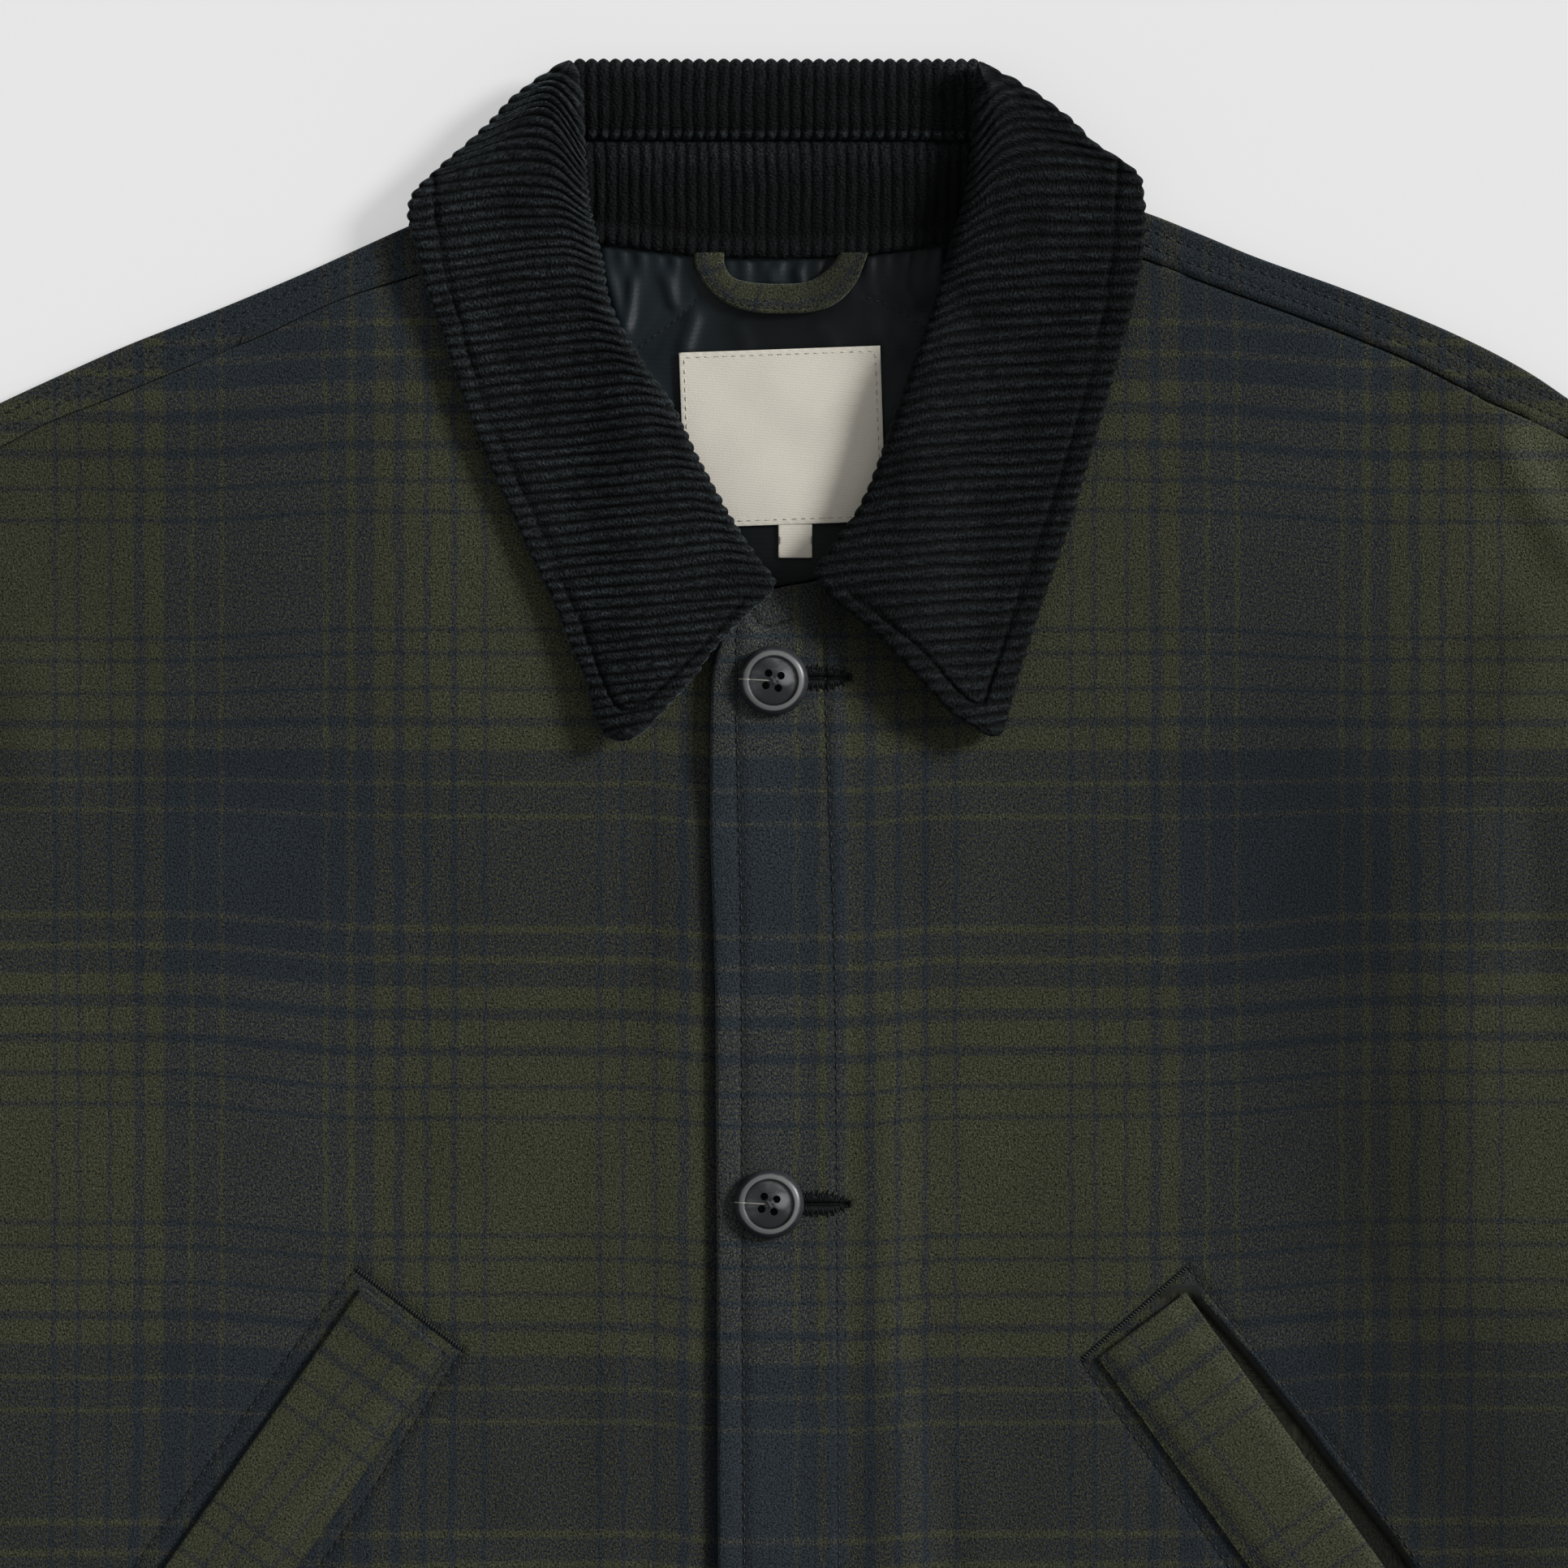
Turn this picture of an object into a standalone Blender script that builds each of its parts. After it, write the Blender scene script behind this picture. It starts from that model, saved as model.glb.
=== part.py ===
"""A buttoned utility jacket of checked wool with a corduroy collar, laid flat and face up.

Sizes in the tables are millimetres in the jacket's own frame: x runs across from the centre
front, y runs up from the level of the neck points, z rises from the surface it lies on.
"""
import bpy
import bmesh
import math
from mathutils import Vector
from mathutils.geometry import delaunay_2d_cdt

MM = 0.001
GAP = 0.3                    # between pieces at a seam, and between layers

# Walls
BACK_TOP = 2.2               # the back lies on the surface and is this thick
CLOTH = 2.4                  # wool with its lining, on the fronts
FRONT_FLOOR = BACK_TOP + GAP
FRONT_TOP = FRONT_FLOOR + CLOTH
BAND_CLOTH = 4.4             # the turned front edge is double
BAND_FLOOR = FRONT_TOP + GAP
BAND_TOP = BAND_FLOOR + BAND_CLOTH
SLEEVE_WALL = 2.2
SLEEVE_SLOT = 0.6            # between the upper and the under side of a sleeve
LINING = 0.8
LINING_FLOOR = BACK_TOP + GAP
LINING_TOP = LINING_FLOOR + LINING

# Front closure
BAND_HALF = 18.0             # from the centre front to the stitching of the turned edge
BAND_BLEND = 3.0             # from the double to the single cloth
OVERLAP_SETTLE = 44.0        # where the upper front again lies on the back
BUTTON_RADIUS = 10.75
BUTTON_PITCH = 160.75
BUTTON_X = -2.0
FIRST_BUTTON_Y = -142.25
BUTTON_COUNT = 4

# Spacing of the points on long edges, seams, the neck and inside the panels
EDGE_STEP = 40.0
SEAM_STEP = 18.0
NECK_STEP = 12.0
CORNER_STEP = 6.0
HEM_STEP = 30.0
INNER_STEP = 30.0
INNER_MARGIN = 11.0          # from the outline
INNER_CLEARANCE = 13.0       # from points that follow a fold

# Forward shoulder seam
STRIP_DROP = 0.35            # how far the back's strip runs past the seam line
FRONT_DROP = STRIP_DROP + GAP
STRIP_ROUND = 1.7            # fall of the folded shoulder at its outer edge
STRIP_ROUND_WIDTH = 2.5

# Collar
COLLAR_TOP = 48.75
TURN_HALF = 66.0             # half of what shows of the turned collar between the leaves
STAND_HALF = 63.5
TURN_SEAM_Y = 26.0           # seam between the turned collar and the stand, at the back
TURN_HEIGHT = 7.0
STAND_HEIGHT = 6.2
WALE_HEIGHT = 0.5
BACK_WALE_PITCH = 3.65
LEAF_OVER_FRONT = FRONT_TOP + 0.4
LEAF_OVER_BAND = BAND_TOP + 0.4
LEAF_OVER_TURN = TURN_HEIGHT + WALE_HEIGHT + 0.35
LEAF_EDGE_CLOTH = 3.4
LEAF_ROLL = 7.0
LEAF_ROLL_FRONT = 4.2

# Seams and edges of the body, distance from the centre and height, for each side
NECK_POINT = (85.0, 9.0)
SHOULDER_EDGE = {
    -1: [NECK_POINT, (112.5, -2.0), (143.5, -16.0), (172.0, -28.0), (201.0, -39.5),
         (220.0, -48.0), (239.0, -56.8), (262.0, -68.0)],
    1: [NECK_POINT, (113.0, 2.0), (146.0, -11.3), (175.0, -21.8), (199.0, -31.3),
        (218.0, -40.0), (232.5, -48.0), (244.0, -55.8), (262.0, -68.0)],
}
SHOULDER_SEAM = {
    -1: [(80.0, -6.0), (110.5, -17.0), (134.0, -24.5), (158.0, -35.5), (186.8, -47.5),
         (205.8, -55.3), (225.0, -62.8), (239.0, -70.0), (262.0, -82.0)],
    1: [(80.0, -3.0), (112.8, -11.8), (132.0, -19.3), (160.8, -29.8), (179.8, -37.0),
        (199.0, -45.3), (218.0, -55.3), (243.8, -67.3), (262.0, -82.0)],
}
ARMHOLE = [(262.0, -82.0), (256.0, -125.0), (254.5, -170.0), (258.0, -215.0), (270.0, -257.0),
           (298.0, -290.0)]
ARMHOLE_SHARES = (0.0, 0.14, 0.28, 0.42, 0.56, 0.7, 0.82, 0.92, 1.0)
SIDE_SEAM = [(298.0, -290.0), (296.5, -480.0), (294.0, -692.0)]
HEM = [(294.0, -692.0), (150.0, -699.0), (0.0, -700.0)]
BACK_NECK = [NECK_POINT, (70.0, -0.8), (55.0, -6.8), (25.0, -10.6), (0.0, -11.4)]
FRONT_NECK = {
    -1: [(74.0, -14.0), (67.0, -32.0), (58.0, -52.0), (47.0, -72.0), (38.0, -88.0),
         (28.0, -101.0), (15.0, -110.0), (4.0, -114.0)],
    1: [(74.0, -12.0), (68.0, -32.0), (61.0, -52.0), (53.0, -72.0), (45.0, -88.0),
        (36.0, -99.0), (25.0, -107.0), (12.0, -111.8)],
}
BAND_CORNER = [(12.0, -111.8), (0.3, -113.8), (-8.0, -117.0), (-14.0, -122.0), (-17.3, -130.0),
               (-20.0, -145.0), (-20.5, -190.0)]
BAND_EDGE = [(-20.5, -190.0), (-19.0, -232.0), (-18.0, -415.0), (-17.5, -700.0)]

# Folded upper edge of the collar at the back: distance from the centre, height
COLLAR_FOLD = [(62.0, COLLAR_TOP), (71.0, 43.0), (80.0, 36.5), (89.0, 28.5), (98.0, 20.5),
               (103.0, 15.0)]
COLLAR_WING_X = (103.0, 98.0, 89.0, 80.0, 71.0, 66.4)
COLLAR_WING_LOW = 11.5       # lower edge of the hidden wings below the leaves

# Sleeve edges, distance from the centre and height
SLEEVE_OUTER = [(262.4, -67.6), (300.0, -88.0), (350.0, -122.0), (400.0, -168.0),
                (440.0, -222.0), (500.0, -326.0), (560.0, -430.0), (622.0, -540.0)]
SLEEVE_INNER = [(298.7, -289.8), (318.0, -304.0), (345.0, -345.0), (400.0, -440.0),
                (460.0, -543.0), (505.0, -620.0)]

# Collar leaves: height and x of the outer edge, then of the roll and front edge
LEAF_OUTER = {
    -1: [(48.7, -64.3), (43.5, -72.8), (35.8, -82.3), (27.3, -90.0), (19.5, -99.3),
         (14.0, -105.3), (5.5, -112.5), (-13.0, -110.0), (-37.8, -102.3), (-68.8, -91.5),
         (-93.5, -80.5), (-119.8, -68.3), (-144.5, -58.3), (-159.0, -52.8), (-161.0, -49.5)],
    1: [(48.7, 62.5), (43.5, 71.0), (38.0, 80.3), (31.0, 89.5), (22.5, 98.8), (18.8, 105.0),
        (13.3, 111.3), (7.0, 112.8), (-0.8, 113.3), (-19.3, 111.3), (-40.8, 105.8),
        (-65.5, 98.8), (-96.5, 89.5), (-122.8, 80.3), (-144.5, 73.3), (-153.8, 71.0),
        (-159.3, 69.0)],
}
LEAF_ROLL_EDGE = {
    -1: [(47.5, -62.0), (38.0, -63.5), (25.8, -59.8), (4.0, -57.5), (-13.0, -53.5),
         (-25.5, -51.3), (-40.8, -43.5), (-56.3, -32.8), (-75.0, -23.5), (-92.0, -14.0),
         (-104.3, -6.3), (-113.0, -0.6), (-121.3, -8.0), (-132.0, -18.8), (-142.3, -26.5),
         (-157.5, -40.5), (-160.5, -44.5)],
    1: [(47.5, 61.0), (31.8, 60.3), (10.3, 58.5), (-6.8, 54.0), (-22.3, 49.3), (-36.3, 44.8),
        (-53.3, 38.5), (-71.8, 32.3), (-88.8, 25.3), (-101.3, 16.8), (-108.8, 11.6),
        (-116.8, 16.8), (-126.0, 27.8), (-138.3, 40.0), (-152.3, 54.0), (-158.5, 63.3),
        (-159.5, 65.0)],
}
# Wales that cross a leaf: height at the outer edge, height at the roll edge
LEAF_WALES = {
    -1: [(48.7, 47.5), (43.5, 38.0), (35.0, 25.0), (27.0, 17.0), (14.0, 8.0), (0.0, -2.0),
         (-20.0, -17.0), (-60.0, -56.0), (-118.0, -113.0), (-157.0, -153.0), (-161.0, -160.5)],
    1: [(48.7, 47.5), (43.5, 35.0), (36.0, 24.0), (27.0, 15.0), (16.0, 6.0), (2.0, -6.0),
        (-20.0, -27.0), (-60.0, -66.0), (-103.5, -108.8), (-150.0, -153.0), (-159.3, -159.5)],
}
LEAF_WALE_PITCH = {-1: 3.3, 1: 3.75}

# Neck pieces
LOOP_HALF = 26.0
LOOP_DROP = 16.5
LOOP_TOP_Y = -14.2
LOOP_WIDTH = 8.5
LOOP_CLOTH = 1.8
LABEL_CENTRE = (1.8, -67.2)
LABEL_SIZE = (62.0, 54.0)
LABEL_TURN = math.radians(2.0)
LABEL_CLOTH = 0.7
TAB_LOW = (0.5, -104.4)
TAB_SIZE = (10.4, 8.6)
TAB_CLOTH = 0.6

# Button: radius and height of its turned profile, and its holes
BUTTON_PROFILE = [(0.0, 0.0), (8.6, 0.0), (10.3, 0.9), (BUTTON_RADIUS, 1.9), (10.2, 3.0),
                  (9.3, 3.3), (8.3, 3.0), (7.6, 2.4), (0.0, 2.2)]
BUTTON_SEGMENTS = 20
HOLE_RADIUS = 1.08
HOLE_OFFSET = 1.9
HOLE_SEGMENTS = 8

# Welts: upper outer corner, direction down the pocket, direction across to the inner edge
WELTS = {
    -1: {"corner": (-127.3, -328.5), "down": (-0.577, -0.817), "across": (26.2, -20.8)},
    1: {"corner": (125.8, -330.3), "down": (0.586, -0.810), "across": (-27.0, -20.2)},
}
WELT_LENGTH = 170.0
WELT_CLOTH = 1.9
WELT_ROWS = 9

# Soft folds that stand up from the fronts: start, end, half width, height
FRONT_FOLDS = [
    {"start": (34.0, -190.0), "end": (33.0, -640.0), "width": 9.0, "height": 1.6},
    {"start": (-47.0, -240.0), "end": (-50.0, -640.0), "width": 10.0, "height": 1.3},
    {"start": (66.0, -520.0), "end": (74.0, -690.0), "width": 15.0, "height": 3.0},
    {"start": (-92.0, -540.0), "end": (-98.0, -690.0), "width": 17.0, "height": 3.2},
    {"start": (236.0, -108.0), "end": (222.0, -185.0), "width": 14.0, "height": 3.4},
    {"start": (-238.0, -120.0), "end": (-226.0, -190.0), "width": 15.0, "height": 2.6},
    {"start": (272.0, -330.0), "end": (264.0, -560.0), "width": 11.0, "height": 2.4},
    {"start": (-273.0, -340.0), "end": (-266.0, -580.0), "width": 11.0, "height": 2.6},
    {"start": (150.0, -560.0), "end": (160.0, -690.0), "width": 16.0, "height": 2.6},
    {"start": (-178.0, -570.0), "end": (-186.0, -690.0), "width": 15.0, "height": 2.4},
]
SLEEVE_ROWS = 13
# Folds on a sleeve: place along it, place across it, half width along it, height
SLEEVE_FOLDS = [
    {"along": 0.20, "across": 0.30, "width": 0.035, "height": 2.6},
    {"along": 0.36, "across": 0.75, "width": 0.030, "height": 2.4},
    {"along": 0.50, "across": 0.30, "width": 0.035, "height": 3.0},
    {"along": 0.60, "across": 0.80, "width": 0.030, "height": 2.6},
    {"along": 0.80, "across": 0.45, "width": 0.030, "height": 2.2},
]

# Colours and roughness
WOOL = (0.055, 0.062, 0.045)
LOOP_WOOL = (0.08, 0.085, 0.045)
CORDUROY = (0.012, 0.016, 0.018)
LINING_SATIN = (0.018, 0.026, 0.029)
LABEL_SATIN = (0.72, 0.68, 0.58)
RESIN = (0.02, 0.024, 0.03)
WOOL_ROUGHNESS = 0.92
CORDUROY_ROUGHNESS = 0.85
LINING_ROUGHNESS = 0.35
LABEL_ROUGHNESS = 0.5
RESIN_ROUGHNESS = 0.22


def smoothstep(value):
    value = min(max(value, 0.0), 1.0)
    return value * value * (3.0 - 2.0 * value)


def lerp(a, b, share):
    return a + (b - a) * share


def read_table(table, place):
    """The second column at a place in the first, whichever way the first column runs."""
    rows = sorted(table)
    if place <= rows[0][0]:
        return rows[0][1]
    for (x0, y0), (x1, y1) in zip(rows, rows[1:]):
        if place <= x1:
            return lerp(y0, y1, (place - x0) / (x1 - x0))
    return rows[-1][1]


def smooth_line(points, step):
    """Points about one step apart on a smooth curve through the given ones."""
    ends = [points[0]] + list(points) + [points[-1]]
    line = []
    for i in range(1, len(ends) - 2):
        a, b, c, d = (Vector(p) for p in ends[i - 1:i + 3])
        count = max(1, round((c - b).length / step))
        for k in range(count):
            t = k / count
            line.append(0.5 * ((2 * b) + (c - a) * t + (2 * a - 5 * b + 4 * c - d) * t * t
                               + (3 * b - a - 3 * c + d) * t ** 3))
    line.append(Vector(points[-1]))
    return line


def at_side(points, side):
    return [(side * x, y) for x, y in points]


def line_place(line, share):
    """The point at a share of a line's length."""
    lengths = [(b - a).length for a, b in zip(line, line[1:])]
    left = share * sum(lengths)
    for (a, b), length in zip(zip(line, line[1:]), lengths):
        if left <= length:
            return a.lerp(b, left / length)
        left -= length
    return line[-1]


def distance_to_line(x, y, line):
    nearest = 1e9
    for a, b in zip(line, line[1:]):
        run = b - a
        share = ((x - a.x) * run.x + (y - a.y) * run.y) / max(run.length_squared, 1e-9)
        share = min(max(share, 0.0), 1.0)
        nearest = min(nearest, math.hypot(x - a.x - run.x * share, y - a.y - run.y * share))
    return nearest


def is_inside(x, y, outline):
    inside = False
    for a, b in zip(outline, outline[1:] + outline[:1]):
        if (a.y > y) != (b.y > y) and x < a.x + (y - a.y) / (b.y - a.y) * (b.x - a.x):
            inside = not inside
    return inside


def grid_inside(outline, step, margin):
    """Staggered points inside an outline, clear of its edge."""
    xs = [p.x for p in outline]
    ys = [p.y for p in outline]
    closed = outline + outline[:1]
    points = []
    for row in range(1, int((max(ys) - min(ys)) / step) + 1):
        y = min(ys) + row * step
        for column in range(int((max(xs) - min(xs)) / step) + 2):
            x = min(xs) + (column + 0.5 * (row % 2)) * step
            if is_inside(x, y, outline) and distance_to_line(x, y, closed) > margin:
                points.append(Vector((x, y)))
    return points


def fold_height(folds, x, y):
    """Height that soft folds add at a point."""
    total = 0.0
    for fold in folds:
        start = Vector(fold["start"])
        run = Vector(fold["end"]) - start
        share = (Vector((x, y)) - start).dot(run) / run.length_squared
        if 0.0 < share < 1.0:
            away = (Vector((x, y)) - start - run * share).length / fold["width"]
            taper = smoothstep(share / 0.3) * smoothstep((1.0 - share) / 0.3)
            total += fold["height"] * taper * math.exp(-away * away)
    return total


def material(name, colour, roughness):
    found = bpy.data.materials.new(name)
    found.use_nodes = True
    shader = found.node_tree.nodes["Principled BSDF"]
    shader.inputs["Base Color"].default_value = (*colour, 1.0)
    shader.inputs["Roughness"].default_value = roughness
    found.diffuse_color = (*colour, 1.0)
    return found


def add_object(name, points, faces, finish):
    """A closed body from points in millimetres, facing out."""
    mesh = bpy.data.meshes.new(name)
    mesh.from_pydata([Vector(p) * MM for p in points], [], faces)
    body = bmesh.new()
    body.from_mesh(mesh)
    bmesh.ops.recalc_face_normals(body, faces=body.faces)
    body.to_mesh(mesh)
    body.free()
    mesh.shade_smooth()
    mesh.set_sharp_from_angle(angle=math.radians(40.0))
    made = bpy.data.objects.new(name, mesh)
    bpy.context.scene.collection.objects.link(made)
    made.parent = jacket
    mesh.materials.append(finish)
    return made


def panel(name, outline, inner, lower, upper, finish, lines=()):
    """A wall of cloth over an outline, between a lower and an upper height."""
    coords = [Vector(p) for p in outline]
    rim_count = len(coords)
    coords += [Vector(p) for p in inner]
    edges = []
    for line in lines:
        first = len(coords)
        coords += [Vector(p) for p in line]
        edges += [(first + i, first + i + 1) for i in range(len(line) - 1)]
    found = delaunay_2d_cdt(coords, edges, [list(range(rim_count))], 1, 1e-4)
    flat, triangles, sources = found[0], found[2], found[3]
    place = {}
    for index, olds in enumerate(sources):
        for old in olds:
            place[old] = index
    rim = [place[i] for i in range(rim_count)]
    count = len(flat)
    points = [(p.x, p.y, upper(p.x, p.y)) for p in flat]
    points += [(p.x, p.y, lower(p.x, p.y)) for p in flat]
    faces = [tuple(t) for t in triangles]
    faces += [tuple(i + count for i in reversed(t)) for t in triangles]
    for a, b in zip(rim, rim[1:] + rim[:1]):
        faces.append((a, a + count, b + count, b))
    return add_object(name, points, faces, finish)


def loft(name, rings, finish):
    """A closed body through rings with the same count of points."""
    size = len(rings[0])
    points = [p for ring in rings for p in ring]
    faces = []
    for r in range(len(rings) - 1):
        for i in range(size):
            j = (i + 1) % size
            faces.append((r * size + i, r * size + j, (r + 1) * size + j, (r + 1) * size + i))
    faces.append(tuple(range(size)))
    last = (len(rings) - 1) * size
    faces.append(tuple(last + i for i in reversed(range(size))))
    return add_object(name, points, faces, finish)


def armhole_points(side):
    """From the seam's end down to the underarm; the sleeve's head takes the same points."""
    line = smooth_line(at_side(ARMHOLE, side), 10.0)
    return [line_place(line, share) for share in ARMHOLE_SHARES]


def shoulder_outline(side):
    """The folded shoulder from the neck point out, and the armhole."""
    edge = smooth_line(at_side(SHOULDER_EDGE[side], side), SEAM_STEP)
    return edge, armhole_points(side)


def seam_line(side, drop):
    """The forward shoulder seam, moved down its own slope by a drop."""
    line = smooth_line(at_side(SHOULDER_SEAM[side], side), SEAM_STEP)
    return [Vector((p.x, p.y - drop)) for p in line]


def lower_outline():
    """From the left underarm down, along the hem and up to the right underarm."""
    left_side = smooth_line(at_side(SIDE_SEAM, -1), EDGE_STEP)
    right_side = smooth_line(at_side(SIDE_SEAM, 1), EDGE_STEP)
    left_hem = smooth_line(at_side(HEM, -1), HEM_STEP)
    right_hem = smooth_line(at_side(HEM, 1), HEM_STEP)
    return left_side[1:] + left_hem[1:] + right_hem[::-1][1:] + right_side[::-1][1:-1]


def strip_line(side, drop):
    """Where the back's shoulder strip ends: down from the neck point, then along the seam."""
    neck_x, neck_y = NECK_POINT
    neck_point = Vector((side * (neck_x - drop * 1.2), neck_y - drop * 0.75))
    seam = seam_line(side, drop)
    seam[0].x -= side * drop
    return [neck_point] + seam


def make_back(finish):
    """The back with its shoulder strips, which wrap over to the forward seams."""
    outline = []
    edges = {}
    for side in (-1, 1):
        edge, hole = shoulder_outline(side)
        neck = smooth_line(at_side(BACK_NECK, side), NECK_STEP)
        strip = strip_line(side, STRIP_DROP)
        edges[side] = {"edge": edge, "hole": hole, "neck": neck, "strip": strip}
    left = edges[-1]
    right = edges[1]
    outline += left["neck"][::-1][:-1] + [left["strip"][0]] + left["edge"]
    outline += [left["hole"][0], left["strip"][-1]] + left["hole"][1:]
    outline += lower_outline()
    outline += right["hole"][::-1][:-1] + [right["strip"][-1], right["hole"][0]]
    outline += right["edge"][::-1] + [right["strip"][0]] + right["neck"][1:-1]

    def is_strip(x, y):
        side = -1 if x < 0 else 1
        away = abs(x)
        start_x, start_y = SHOULDER_SEAM[side][0]
        if away < start_x - 0.1:
            return False
        if y > start_y:
            neck_x, neck_y = NECK_POINT
            return away > lerp(start_x, neck_x, (y - start_y) / (neck_y - start_y)) - 0.1
        return distance_to_line(x, y, seam_line(side, 0.0)) < 0.12 or above_seam(x, y, side)

    def above_seam(x, y, side):
        return y > read_table(SHOULDER_SEAM[side], abs(x)) + 0.6

    def upper(x, y):
        if not is_strip(x, y):
            return BACK_TOP
        side = -1 if x < 0 else 1
        away = distance_to_line(x, y, edges[side]["edge"])
        return FRONT_TOP - STRIP_ROUND * max(0.0, 1.0 - away / STRIP_ROUND_WIDTH) ** 2

    lines = []
    inner = []
    for side in (-1, 1):
        lines.append(strip_line(side, 0.0))
        lines.append(edges[side]["strip"])
        for p in edges[side]["edge"][1:-1]:
            inner.append(Vector((p.x - side * 1.2, p.y - 2.4)))
    return panel("back", outline, inner, lambda x, y: 0.0, upper, finish, lines)


def band_floor(x, y):
    """Underside of the upper front: on the under front at the closure, else on the back."""
    settle = smoothstep((x - BAND_HALF - 2.0) / (OVERLAP_SETTLE - BAND_HALF - 2.0))
    return lerp(BAND_FLOOR, FRONT_FLOOR, settle)


def under_front_top(x, y):
    return FRONT_TOP + fold_height(FRONT_FOLDS, x, y)


def upper_front_floor(x, y):
    return band_floor(x, y) + fold_height(FRONT_FOLDS, x, y)


def upper_front_top(x, y):
    double = 1.0 - smoothstep((x - BAND_HALF) / BAND_BLEND)
    return upper_front_floor(x, y) + lerp(CLOTH, BAND_CLOTH, double)


def fold_points(folds, outline):
    """Extra points along folds, so that the wall follows them."""
    points = []
    for fold in folds:
        start = Vector(fold["start"])
        run = Vector(fold["end"]) - start
        across = Vector((-run.y, run.x)).normalized() * fold["width"]
        count = max(2, round(run.length / 40.0))
        for k in range(1, count):
            middle = start + run * (k / count)
            for offset in (-1.0, 0.0, 1.0):
                p = middle + across * offset
                if is_inside(p.x, p.y, outline) and distance_to_line(p.x, p.y, outline) > 5.0:
                    points.append(p)
    return points


def spread(points, others, clearance):
    """The points that keep a clearance from the others."""
    return [p for p in points if all((p - q).length > clearance for q in others)]


def make_fronts(finish_under, finish_upper):
    """Both fronts: the under one on the left of the view, the upper one with the turned edge."""
    hole = armhole_points(-1)
    seam = seam_line(-1, FRONT_DROP)
    seam[-1].x += 0.1
    side_seam = smooth_line(at_side(SIDE_SEAM, -1), EDGE_STEP)
    hem = smooth_line(at_side(HEM, -1), HEM_STEP)
    neck = smooth_line(at_side(FRONT_NECK[-1], -1), NECK_STEP)
    under = seam + hole[1:] + side_seam[1:] + hem[1:] + [Vector((BAND_HALF, HEM[-1][1]))]
    under += smooth_line([(BAND_HALF, -690.0), (BAND_HALF, -114.5)], EDGE_STEP)
    under += neck[::-1]
    extra = fold_points(FRONT_FOLDS, under)
    grid = grid_inside(under, INNER_STEP, INNER_MARGIN)
    inner = extra + spread(grid, extra, INNER_CLEARANCE)
    panel("front_under", under, inner, lambda x, y: under_front_top(x, y) - CLOTH,
          under_front_top, finish_under)

    hole = armhole_points(1)
    seam = seam_line(1, FRONT_DROP)
    seam[-1].x -= 0.1
    side_seam = smooth_line(at_side(SIDE_SEAM, 1), EDGE_STEP)
    hem = smooth_line(at_side(HEM, 1), HEM_STEP)
    neck = smooth_line(at_side(FRONT_NECK[1], 1), NECK_STEP)
    corner = smooth_line(BAND_CORNER, CORNER_STEP)
    band = smooth_line(BAND_EDGE, EDGE_STEP)
    upper = neck[:-1] + corner[:-1] + band + hem[::-1][:-1] + side_seam[::-1][:-1]
    upper += hole[::-1][:-1] + seam[::-1]
    columns = []
    for x in (BAND_HALF - 0.5, BAND_HALF + BAND_BLEND, 27.0, 35.0, OVERLAP_SETTLE):
        columns += [Vector((x, -128.0 - 28.0 * k)) for k in range(21)]
    columns = [p for p in columns if distance_to_line(p.x, p.y, upper) > 3.0]
    near = fold_points(FRONT_FOLDS, upper)
    near = spread([p for p in near if p.x > OVERLAP_SETTLE + 6.0], columns, 6.0)
    extra = columns + near
    grid = grid_inside(upper, INNER_STEP, INNER_MARGIN)
    inner = extra + spread(grid, extra, INNER_CLEARANCE)
    panel("front_upper", upper, inner, upper_front_floor, upper_front_top, finish_upper)


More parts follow.
